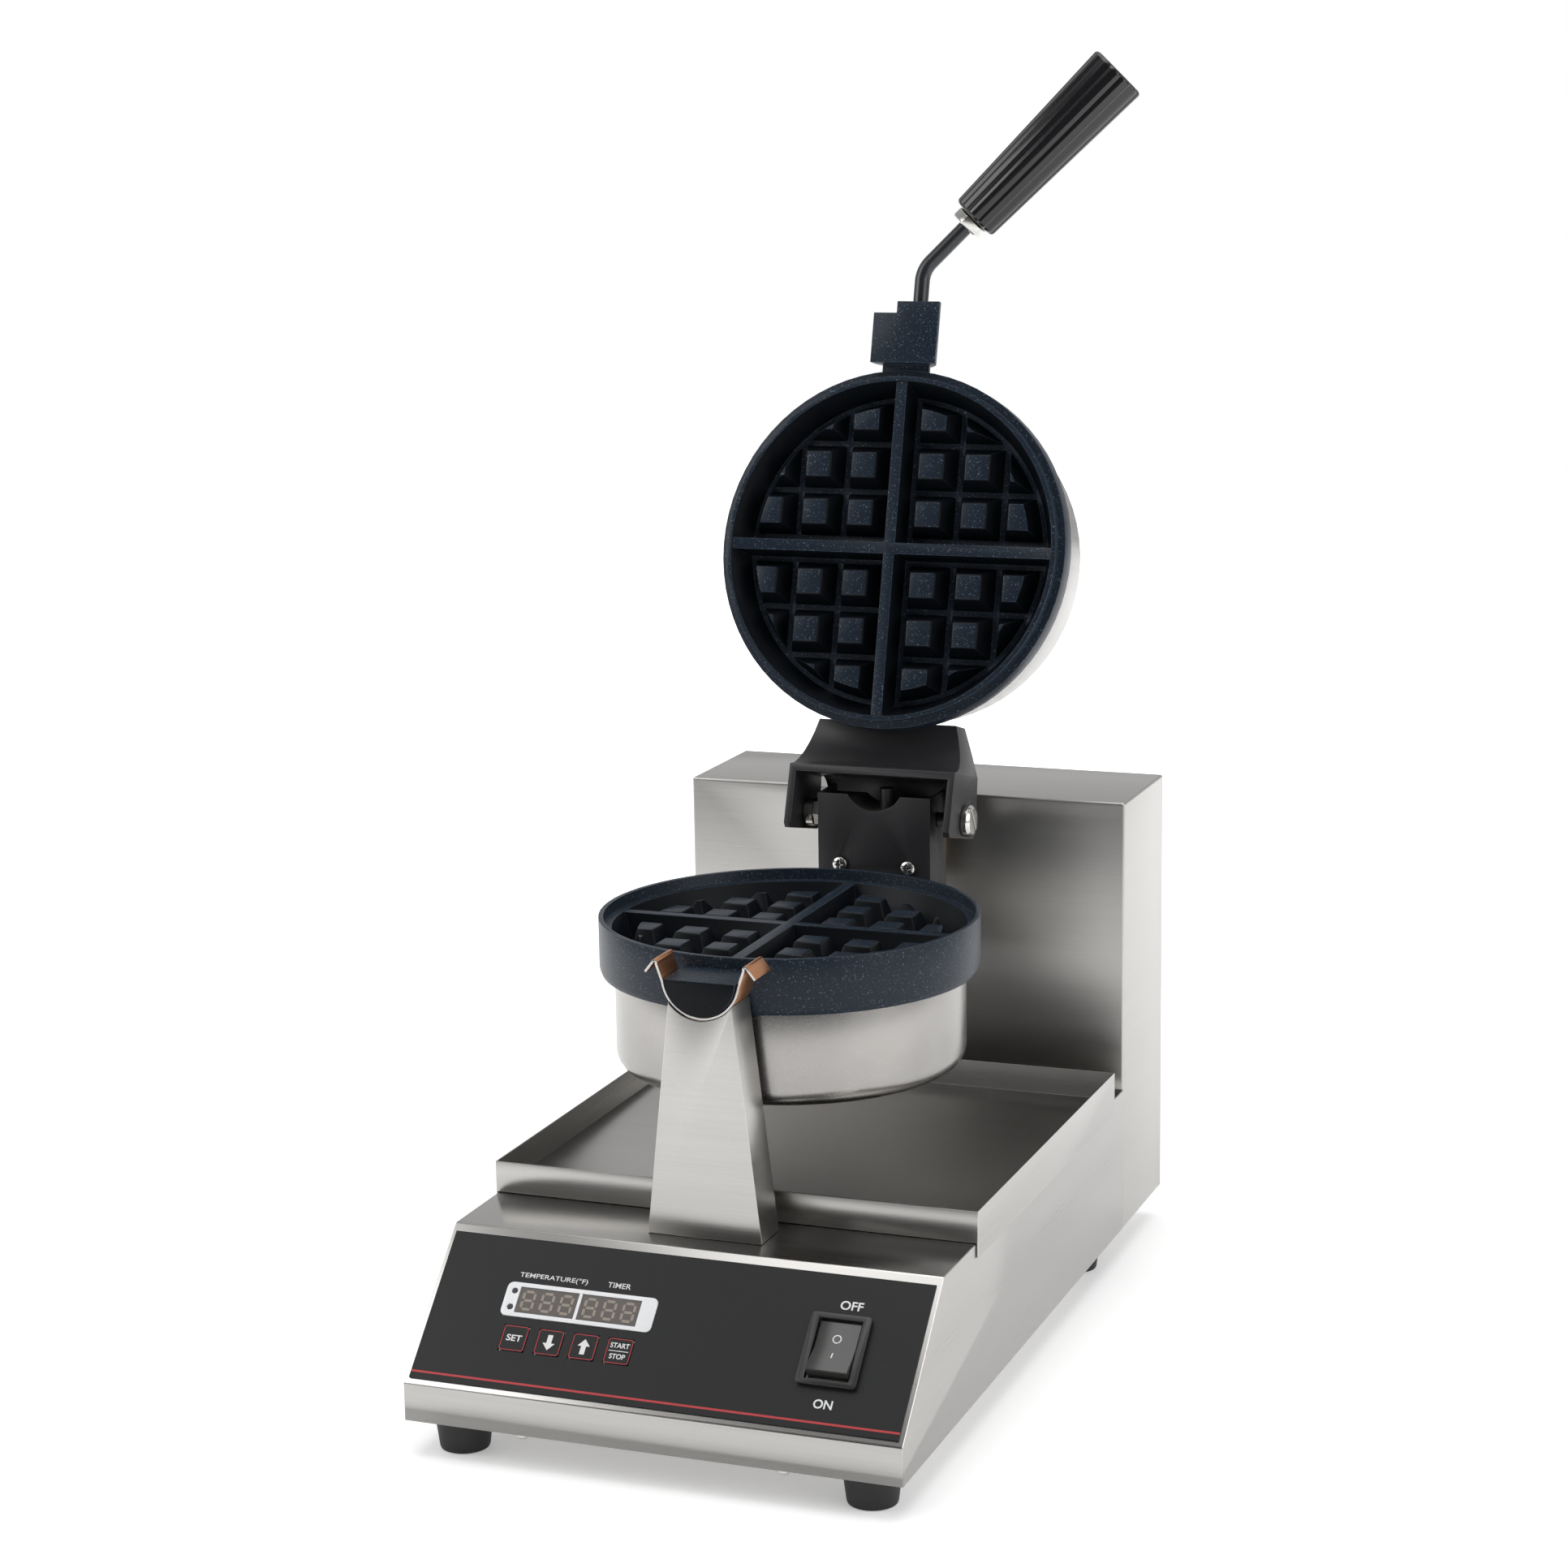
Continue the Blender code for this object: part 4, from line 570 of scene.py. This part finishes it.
MOULD_R = 0.0925                     # the mould's wall stands inside this radius
JOURNAL_R = 0.0205
JOURNAL_START = 0.1005               # the journal's front lies further forward than this


def ease_pegs(piece, to_shut, side):
    """Rounds the upright and top edges of the whole pegs more than the rest of the casting."""
    def on_peg(point):
        flat = to_shut @ point - tilt_place
        return abs(flat.z - side * PEG_TOP) < 0.0002

    def inside(point):
        flat = to_shut @ point - tilt_place
        return flat.xy.length < PEG_FIELD_R

    pick(piece, edges=lambda a, b: (on_peg(a) or on_peg(b)) and inside(a) and inside(b))
    bpy.ops.mesh.bevel(offset=PEG_ROUNDING, segments=3, affect='EDGES', clamp_overlap=True)
    done()
    return piece


def paint_mould_shade(piece, to_shut):
    """Painted shade: steep faces inside the mould, and the front journal in its seat, get a darker coat."""
    piece.data.materials.append(nonstick_painted_shade)
    for face in piece.data.polygons:
        flat = to_shut @ face.center - tilt_place
        normal = to_shut.to_3x3() @ face.normal
        steep = abs(normal.z) < 0.93 and flat.xy.length < MOULD_R
        journal = normal.y < -0.9 and flat.y < -JOURNAL_START and abs(flat.x) < JOURNAL_R
        face.material_index = int(steep or journal)


lower_pan = ease_pegs(clone("lower_plate", "lower_casting"), Matrix.Identity(4), -1)
soften(lower_pan, 0.0005, 2, 30)
fasten(lower_pan, "tilt_frame", nonstick, "nonstick_casting", "lower_plate")
paint_mould_shade(lower_pan, Matrix.Identity(4))
upper_pan = ease_pegs(clone("upper_plate", "upper_casting"), opened.inverted(), 1)
soften(upper_pan, 0.0005, 2, 30)
fasten(upper_pan, "lid", nonstick, "nonstick_casting", "upper_plate")
paint_mould_shade(upper_pan, opened.inverted())

# ---------------------------------------------------------------- steel covers
# Two spun stainless cups close the backs of the plates. They were polished on a lathe, so the
# fine lines run round them.
# Painted shade: the lower cup faces down, away from the lights, so its steel is painted darker than the lid's cup.
steel_round_painted_shade = brushed("steel_turned_painted_shade", dark=(0.25, 0.24, 0.23), light=(0.38, 0.37, 0.355),
                      rough=(0.2, 0.32))
steel_round_lid = brushed("steel_turned_lid", (-LID_SWING, 0, 0), rough=(0.2, 0.3))
lower_cup = soften(clone("lower_cover", "lower_cup"), 0.0002, 2, 50)
fasten(lower_cup, "tilt_frame", steel_round_painted_shade, "brushed_steel", "lower_cover")
upper_cup = soften(clone("upper_cover", "upper_cup"), 0.0002, 2, 50)
fasten(upper_cup, "lid", steel_round_lid, "brushed_steel", "upper_cover")

# ---------------------------------------------------------------- hinge fork and housing
# Thick black-painted steel with small pale specks of grit. The fork joins the lid to the hinge
# housing, which turns with the lower plate, and a curved web of sheet closes the gap under the
# fork's cross bar.
black_paint = coated("black_sprayed_paint", (0.018, 0.018, 0.020), (0.14, 0.14, 0.15),
                     (0.26, 0.26, 0.27), 800, 0.74, (0.36, 0.5), 0.00003, 0.5)
fork = soften(clone("lid_bracket", "hinge_fork"), 0.0007, 3, 30)
fasten(fork, "lid", black_paint, "black_paint", "lid_bracket")
hinge_box = soften(clone("hinge_housing", "hinge_box"), 0.0005, 3, 30)
fasten(hinge_box, "tilt_frame", black_paint, "black_paint", "hinge_housing")
WEB_R = 0.0228                       # round the hinge's axis
WEB_WIDTH = 0.0788
WEB_ENDS = ((0, 1, -0.5), (0, 0.35, 1))  # normals of the two planes through the axis that end it
bpy.ops.object.select_all(action='DESELECT')
bpy.ops.mesh.primitive_circle_add(vertices=72, radius=WEB_R, location=hinge_place,
                                  rotation=(0, pi / 2, 0))
web = bpy.context.object
web.name = "fork_web"
bpy.ops.object.transform_apply()
pick(web, edges=lambda a, b: True)
bpy.ops.mesh.extrude_region_move(TRANSFORM_OT_translate={"value": (WEB_WIDTH, 0, 0)})
bpy.ops.mesh.select_all(action='SELECT')
bpy.ops.transform.translate(value=(-WEB_WIDTH / 2, 0, 0))
for normal in WEB_ENDS:
    bpy.ops.mesh.select_all(action='SELECT')
    bpy.ops.mesh.bisect(plane_co=hinge_place, plane_no=normal, clear_inner=True)
done()
smooth(web)
modify(web, 'SOLIDIFY', thickness=SHEET, offset=0)
fasten(web, "lid", black_paint, "black_paint")

# ---------------------------------------------------------------- hinge bolts and screws
# Zinc-plated slotted bolts that the fork swings on, with a nut and a washer inside the left
# ear, and two cross-head screws through the housing's front.
zinc = brushed("bright_zinc", dark=(0.46, 0.45, 0.43), light=(0.62, 0.61, 0.58), rough=(0.16, 0.26))
BOLT_SLOT = Vector((0.0016, 0.02, 0.0008))  # depth, half length and half width
SLOT_TURN = radians(62)
CROSS_REACH = 0.0026                 # half the length of each arm of the cross
CROSS_HALF = 0.0004                  # and half its width
CROSS_DEPTH = 0.0012
for word, side in (("left", -1), ("right", 1)):
    bolt = clone("hinge_bolt_" + word, "slotted_bolt_" + word)
    end = side * max(abs(corner.x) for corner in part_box("hinge_bolt_" + word))
    slot_place = Vector((end, hinge_place.y, hinge_place.z))
    slot = block("bolt_slot", slot_place - BOLT_SLOT, slot_place + BOLT_SLOT)
    pick(slot, faces=lambda centre, normal: True)
    bpy.ops.transform.rotate(value=SLOT_TURN, orient_axis='X', center_override=hinge_place)
    done()
    soften(cut(bolt, slot), 0.0003, 2, 40)
    fasten(bolt, "tilt_frame", zinc, "zinc_plate", "hinge_bolt_" + word)
    screw_name = "plate_screw_" + word
    low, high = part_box(screw_name)
    middle = (low + high) / 2
    screw = clone(screw_name, "cross_head_screw_" + word)
    cross = [block("cross_cut", (middle.x - wide, low.y - 0.001, middle.z - tall),
                   (middle.x + wide, low.y + CROSS_DEPTH, middle.z + tall))
             for wide, tall in ((CROSS_REACH, CROSS_HALF), (CROSS_HALF, CROSS_REACH))]
    soften(cut(screw, *cross), 0.00015, 2, 40)
    fasten(screw, "tilt_frame", zinc, "zinc_plate", screw_name)

# ---------------------------------------------------------------- handle
# A bent black steel rod out of the lid's block, a zinc-plated lock nut and a long tapering
# grip moulded in glossy black plastic, with flutes down its length.


def set_down(piece, place):
    """Puts a piece at a place and leaves that place in its mesh."""
    piece.matrix_world = place
    only(piece)
    bpy.ops.object.transform_apply()
    return piece


def turned(name, rings, sides, place=Matrix.Identity(4)):
    """A round piece grown from a disc ring by ring, then set in place. Rings are (radius, height)."""
    radius, height = rings[0]
    bpy.ops.object.select_all(action='DESELECT')
    bpy.ops.mesh.primitive_circle_add(vertices=sides, radius=radius, fill_type='NGON',
                                      location=(0, 0, height))
    piece = bpy.context.object
    piece.name = name
    bpy.ops.object.transform_apply()
    bpy.ops.object.mode_set(mode='EDIT')
    bpy.ops.mesh.select_mode(type='FACE')
    bpy.ops.mesh.select_all(action='SELECT')
    for wider, higher in rings[1:]:
        bpy.ops.mesh.extrude_region_move(TRANSFORM_OT_translate={"value": (0, 0, higher - height)})
        bpy.ops.transform.resize(value=(wider / radius, wider / radius, 1),
                                 center_override=(0, 0, higher))
        radius, height = wider, higher
    bpy.ops.mesh.select_all(action='SELECT')
    bpy.ops.mesh.normals_make_consistent(inside=False)
    done()
    return set_down(piece, place)


gloss_black = coated("gloss_black_plastic", (0.006, 0.006, 0.007), (0.012, 0.012, 0.013),
                     (0.05, 0.05, 0.05), 300, 0.72, (0.14, 0.2), 0.000002, 0)
satin_black = coated("satin_black_rod", (0.012, 0.014, 0.017), (0.03, 0.03, 0.035),
                     (0.08, 0.08, 0.09), 500, 0.7, (0.24, 0.32), 0.000003, 0)
BEND = radians(43.3)
bend_corner = Vector((0.005, -0.1903, 0.2415))  # in the shut lid
handle_turn = (opened @ Matrix.Translation(bend_corner) @ Matrix.Rotation(BEND, 4, 'Z')
               @ Matrix.Rotation(pi / 2, 4, 'X'))
rod = smooth(clone("handle_rod", "handle_bar"))
fasten(rod, "lid", satin_black, "black_paint", "handle_rod")
NUT_R = 0.0085 / cos(pi / 6)         # across the corners, from half the width across the flats
NUT_END_R = NUT_R * 0.9
nut = turned("handle_lock_nut", [(NUT_END_R, 0.0335), (NUT_R, 0.0343), (NUT_R, 0.0390),
                                 (NUT_END_R, 0.0398)], 6, handle_turn)
soften(nut, 0.0003, 2)
fasten(nut, "lid", zinc, "zinc_plate", "handle_nut")
GRIP_SIDES = 48
FLUTE_EVERY = 4
FLUTE_R = 0.925                      # the bottom of a flute, as a share of the grip's radius


def in_flute(point):
    """Whether a corner of the grip lies on the line at the bottom of a flute."""
    return round(GRIP_SIDES * atan2(point.y, point.x) / (2 * pi)) % FLUTE_EVERY == 0


grip = turned("grip_moulding", [(0.0112, 0.0401), (0.0128, 0.0405), (0.0138, 0.0417), (0.0171, 0.1508),
                                (0.0164, 0.1519), (0.0148, 0.1525)], GRIP_SIDES)
pick(grip, edges=lambda a, b: in_flute(a) and in_flute(b))
bpy.ops.transform.resize(value=(FLUTE_R, FLUTE_R, 1), center_override=(0, 0, 0))
done()
soften(set_down(grip, handle_turn), 0.0004, 2, 25)
fasten(grip, "lid", gloss_black, "black_plastic", "handle_grip")

# ---------------------------------------------------------------- feet
# Moulded rubber feet that taper to the counter, each with a thin collar at its top and a hollow
# underneath for the screw that holds it.
rubber = coated("foot_rubber", (0.010, 0.010, 0.010), (0.025, 0.025, 0.025), (0.04, 0.04, 0.04),
                1500, 0.66, (0.55, 0.75), 0.00004, 0.4)
FOOT_RINGS = ((0.0113, 0), (0.0122, 0.0004), (0.0126, 0.0014), (0.0143, 0.0150), (0.0149, 0.0153),
              (0.0150, 0.0158), (0.0150, 0.0185))
FOOT_WALL = 0.0063
FOOT_HOLLOW = 0.006
for word in ("front_left", "front_right", "rear_left", "rear_right"):
    low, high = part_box("foot_" + word)
    middle = (low + high) / 2
    foot = turned("rubber_foot_" + word, FOOT_RINGS, 48, Matrix.Translation((middle.x, middle.y, 0)))
    pick(foot, faces=lambda centre, normal: normal.z < -0.99)
    bpy.ops.mesh.inset(thickness=FOOT_WALL)
    bpy.ops.mesh.extrude_region_move(TRANSFORM_OT_translate={"value": (0, 0, FOOT_HOLLOW)})
    done()
    fasten(smooth(foot), "base", rubber, "black_rubber", "foot_" + word)

# ---------------------------------------------------------------- control overlay and its printing
# A satin charcoal film glued to the slope. Its red line, key outlines and white words are printed,
# so they are modelled as very thin layers on it.
film = coated("charcoal_film", (0.0075, 0.0078, 0.0082), (0.017, 0.0175, 0.018),
              (0.025, 0.025, 0.025), 2600, 0.6, (0.36, 0.46), 0.000006, 0.2, Specular_IOR_Level=0.32)
white_ink = coated("white_ink", (0.70, 0.70, 0.70), (0.76, 0.76, 0.76), (0.75, 0.75, 0.75), 900, 0.6,
                   (0.45, 0.55), 0.000002, 0.1)
red_ink = coated("red_ink", (0.42, 0.028, 0.035), (0.50, 0.05, 0.05), (0.45, 0.04, 0.04), 900, 0.6,
                 (0.45, 0.55), 0.000002, 0.1)
FILM_TOP = 0.0009                    # above the sheet of the slope
KEY_FACE = 0.0012                    # above the same sheet
INK = 0.00005                        # thickness of a print
FINE, BOLD = 0.004, 0.018            # how far a word's strokes are thickened


def on_slope(x, up, out=FILM_TOP):
    """The place and turn of a piece that lies on the control slope."""
    place = slope_foot + slope_up * up + slope_out * out + Vector((x, 0, 0))
    return Matrix.Translation(place) @ Matrix.Rotation(SLOPE, 4, 'X')


def print_words(name, words, width, tall, weight, x, up, body, out=FILM_TOP):
    """A printed word of a given width and capital height, centred at a place on the slope."""
    bpy.ops.object.select_all(action='DESELECT')
    bpy.ops.object.text_add()
    piece = bpy.context.object
    piece.name = name
    piece.data.body = words
    piece.data.align_x = 'CENTER'
    piece.data.align_y = 'CENTER'
    piece.data.offset = weight
    piece.data.extrude = 0.01
    piece.data.resolution_u = 6
    bpy.ops.object.convert(target='MESH')
    piece = bpy.context.object
    size = piece.dimensions
    across, high = width / size.x, tall / size.y
    set_down(piece, on_slope(x, up, out + INK / 2) @ Matrix.Diagonal((across, high, INK / size.z, 1)))
    return fasten(piece, body, white_ink, "white_plastic")


def print_bar(name, x, up, width, tall, body, finish, out=FILM_TOP):
    """A printed line."""
    bar = block(name, (-width / 2, -tall / 2, 0), (width / 2, tall / 2, INK))
    set_down(bar, on_slope(x, up, out))
    return fasten(bar, body, finish, "white_plastic")


print_bar("red_line", 0, 0.0067, 0.2546, 0.0011, "base", red_ink)
print_words("temperature_words", "TEMPERATURE(\u00b0F)", 0.0368, 0.0034, FINE, -0.0674, 0.0642, "base")
print_words("timer_word", "TIMER", 0.0123, 0.0028, FINE, -0.0322, 0.0642, "base")
print_words("off_word", "OFF", 0.0116, 0.0047, BOLD, 0.0884, 0.0678, "base")
print_words("on_word", "ON", 0.0096, 0.0047, BOLD, 0.0866, 0.0160, "base")

# ---------------------------------------------------------------- keys
# Four flexible keys in the film. Each has a thin red rounded outline with a white word or arrow
# inside it, and both move with the key.


def outline_mark(name, side, corner, line, place):
    """A thin rounded square ring."""
    bpy.ops.object.select_all(action='DESELECT')
    bpy.ops.mesh.primitive_plane_add(size=side)
    piece = bpy.context.object
    piece.name = name
    bpy.ops.object.mode_set(mode='EDIT')
    bpy.ops.mesh.select_all(action='SELECT')
    bpy.ops.mesh.bevel(offset=corner, segments=5, affect='VERTICES')
    bpy.ops.mesh.select_mode(type='FACE')
    bpy.ops.mesh.select_all(action='SELECT')
    bpy.ops.mesh.inset(thickness=line)
    bpy.ops.mesh.delete(type='FACE')
    bpy.ops.mesh.select_all(action='SELECT')
    bpy.ops.mesh.extrude_region_move(TRANSFORM_OT_translate={"value": (0, 0, INK)})
    bpy.ops.mesh.select_all(action='SELECT')
    bpy.ops.mesh.normals_make_consistent(inside=False)
    done()
    return set_down(piece, place)


def arrow_mark(name, place):
    """A bold arrow up the slope: a triangle pushed out of one end of a short bar."""
    half, foot, neck, tip = 0.0013, -0.0040, 0.0004, 0.0040
    piece = block(name, (-half, foot, 0), (half, neck, INK))
    pick(piece, faces=lambda centre, normal: normal.y > 0.9)
    for push, spread in ((0.00001, 2.5), (tip - neck, 0.03)):
        bpy.ops.mesh.extrude_region_move(TRANSFORM_OT_translate={"value": (0, push, 0)})
        bpy.ops.transform.resize(value=(spread, 1, 1), center_override=(0, neck, 0))
    done()
    return set_down(piece, place)


KEY_ROW = 0.0300                     # up the slope
OUTLINE_SIDE = 0.0130
OUTLINE_CORNER = 0.0013
LINE = 0.00035
for key in ("key_set", "key_down", "key_up", "key_start_stop"):
    low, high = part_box(key)
    x, up = (low.x + high.x) / 2, KEY_ROW
    key_place = on_slope(x, up, KEY_FACE)
    ring = outline_mark(key + "_outline", OUTLINE_SIDE, OUTLINE_CORNER, LINE, key_place)
    fasten(ring, key, red_ink, "charcoal_film")
    if key == "key_set":
        print_words("set_word", "SET", 0.0082, 0.0034, BOLD, x, up, key, KEY_FACE)
    if key == "key_start_stop":
        print_words("start_word", "START", 0.0101, 0.0027, BOLD, x, up + 0.0028, key, KEY_FACE)
        print_words("stop_word", "STOP", 0.0083, 0.0027, BOLD, x, up - 0.0030, key, KEY_FACE)
        print_bar("start_stop_line", x, up, 0.0104, LINE, key, white_ink, KEY_FACE)
    if key in ("key_up", "key_down"):
        half_turn = Matrix.Rotation(0 if key == "key_up" else pi, 4, 'Z')
        arrow = arrow_mark(key + "_arrow", key_place @ half_turn)
        fasten(arrow, key, white_ink, "white_plastic")

# ---------------------------------------------------------------- displays
# Two smoked windows that show unlit seven-segment digits, in one white moulded frame, and two
# small dark lamps at its left end.
white_plastic = coated("white_plastic", (0.74, 0.75, 0.76), (0.78, 0.79, 0.80), (0.85, 0.85, 0.85),
                       900, 0.6, (0.28, 0.38), 0.000006, 0.3)
smoked = coated("display_glass", (0.125, 0.113, 0.104), (0.135, 0.122, 0.112), (0.15, 0.14, 0.13),
                300, 0.6, (0.16, 0.22), 0.000002, 0.2)
ghost = coated("unlit_segment", (0.27, 0.235, 0.195), (0.30, 0.26, 0.22), (0.3, 0.26, 0.22),
               300, 0.6, (0.3, 0.4), 0.000002, 0.1)
lamp_grey = coated("lamp_off", (0.05, 0.05, 0.055), (0.08, 0.08, 0.08), (0.1, 0.1, 0.1), 900, 0.7,
                   (0.2, 0.3), 0.000004, 0.2)
bezel = soften(clone("display_bezel", "display_frame"), 0.0003, 3)
fasten(bezel, "base", white_plastic, "white_plastic", "display_bezel")
DIGIT_PITCH = 0.0102
DIGIT_ROW = 0.0507                   # up the slope
DIGIT_FACE = 0.00112                 # above the sheet of the slope
FLAT_BAR, UPRIGHT_BAR = (0.0044, 0.0014), (0.0014, 0.0036)
SIDE, END, MIDWAY = 0.0029, 0.0047, 0.00235  # from a digit's centre to its bars
SEGMENTS = ((0, END, FLAT_BAR), (0, 0, FLAT_BAR), (0, -END, FLAT_BAR),
            (SIDE, MIDWAY, UPRIGHT_BAR), (-SIDE, MIDWAY, UPRIGHT_BAR),
            (SIDE, -MIDWAY, UPRIGHT_BAR), (-SIDE, -MIDWAY, UPRIGHT_BAR))
for display in ("timer_display", "temperature_display"):
    low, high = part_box(display)
    middle = (low.x + high.x) / 2
    bars = []
    for digit in (-1, 0, 1):
        for across, up, (wide, tall) in SEGMENTS:
            bar = block("segment", (-wide / 2, -tall / 2, 0), (wide / 2, tall / 2, INK))
            pick(bar, edges=lambda a, b: abs(a.x - b.x) < 1e-6 and abs(a.y - b.y) < 1e-6)
            bpy.ops.mesh.bevel(offset=0.0005, segments=1, affect='EDGES')
            done()
            x = middle + digit * DIGIT_PITCH + across
            bars.append(set_down(bar, on_slope(x, DIGIT_ROW + up, DIGIT_FACE)))
    bpy.ops.object.select_all(action='DESELECT')
    for bar in bars:
        bar.select_set(True)
    bpy.context.view_layer.objects.active = bars[0]
    bpy.ops.object.join()
    digits = bpy.context.object
    digits.name = display + "_digits"
    fasten(digits, "base", ghost, "display_glass")

# ---------------------------------------------------------------- power switch
# A black rocker in a raised square frame. The rocker is a smoky moulding with pale O and I marks,
# and it turns on a pin below the slope.
smoky = coated("smoky_rocker", (0.030, 0.029, 0.028), (0.034, 0.033, 0.032), (0.12, 0.12, 0.12),
               300, 0.7, (0.16, 0.22), 0.000003, 0.6)
switch_black = coated("switch_black", (0.012, 0.012, 0.013), (0.022, 0.022, 0.022),
                      (0.14, 0.14, 0.14), 900, 0.66, (0.28, 0.38), 0.00001, 0.8)
frame_piece = soften(clone("switch_bezel", "switch_frame"), 0.0004, 3)
fasten(frame_piece, "base", switch_black, "black_plastic", "switch_bezel")
rocker = soften(clone("switch_rocker", "rocker_cap"), 0.0007, 3, 30)
fasten(rocker, "switch_rocker", smoky, "black_plastic", "switch_rocker")
ROCKER_LEAN = radians(10)            # at rest the rocker lies this much nearer level than the slope
DISH = atan2(0.0022, 0.01425)        # each half of its face rises this much towards its end
OFF_PLACE, ON_PLACE = (0, 0.0052, 0.00506), (0, -0.0042, 0.00489)
rocker_turn = (Matrix.Translation(joint_place("switch_rocker_tilt"))
               @ Matrix.Rotation(SLOPE - ROCKER_LEAN, 4, 'X'))
bpy.ops.object.select_all(action='DESELECT')
bpy.ops.mesh.primitive_torus_add(major_radius=0.0020, minor_radius=0.00028, major_segments=40,
                                 minor_segments=8)
round_mark = bpy.context.object
round_mark.name = "off_mark"
set_down(round_mark, rocker_turn @ Matrix.Translation(OFF_PLACE) @ Matrix.Rotation(DISH, 4, 'X')
         @ Matrix.Diagonal((1, 1, 0.2, 1)))
fasten(smooth(round_mark), "switch_rocker", white_ink, "white_plastic")
line_mark = block("on_mark", (-0.0003, -0.0016, 0), (0.0003, 0.0016, INK))
set_down(line_mark, rocker_turn @ Matrix.Translation(ON_PLACE) @ Matrix.Rotation(-DISH, 4, 'X'))
fasten(line_mark, "switch_rocker", white_ink, "white_plastic")

# ---------------------------------------------------------------- parts that stay as they are
# Boards, heaters, bearings, small fixings and the mains inlet keep their CAD shapes and take the
# finish of what they are made of.
circuit = coated("circuit_board", (0.010, 0.07, 0.03), (0.05, 0.16, 0.08), (0.1, 0.2, 0.1), 500, 0.6)
dark_metal = coated("dark_metal", (0.25, 0.24, 0.23), (0.3, 0.3, 0.3), (0.5, 0.5, 0.5), 600, 0.6,
                    Metallic=1.0)
bronze = brushed("bronze_bearing", dark=(0.35, 0.22, 0.10), light=(0.55, 0.37, 0.18))
FINISHES = {
    "brushed_steel": steel_level, "zinc_plate": zinc, "black_plastic": switch_black,
    "charcoal_film": film, "white_plastic": white_plastic, "circuit_board": circuit,
    "display_glass": smoked, "lamp_red": lamp_grey, "heater_sheath": dark_metal, "bronze": bronze,
}
for entry in frame["record"]["subparts"]:
    carried = frame["nodes"][entry["node"]]
    if not carried.hide_render:
        carried.data.materials.clear()
        carried.data.materials.append(FINISHES[entry["material_slot"]])
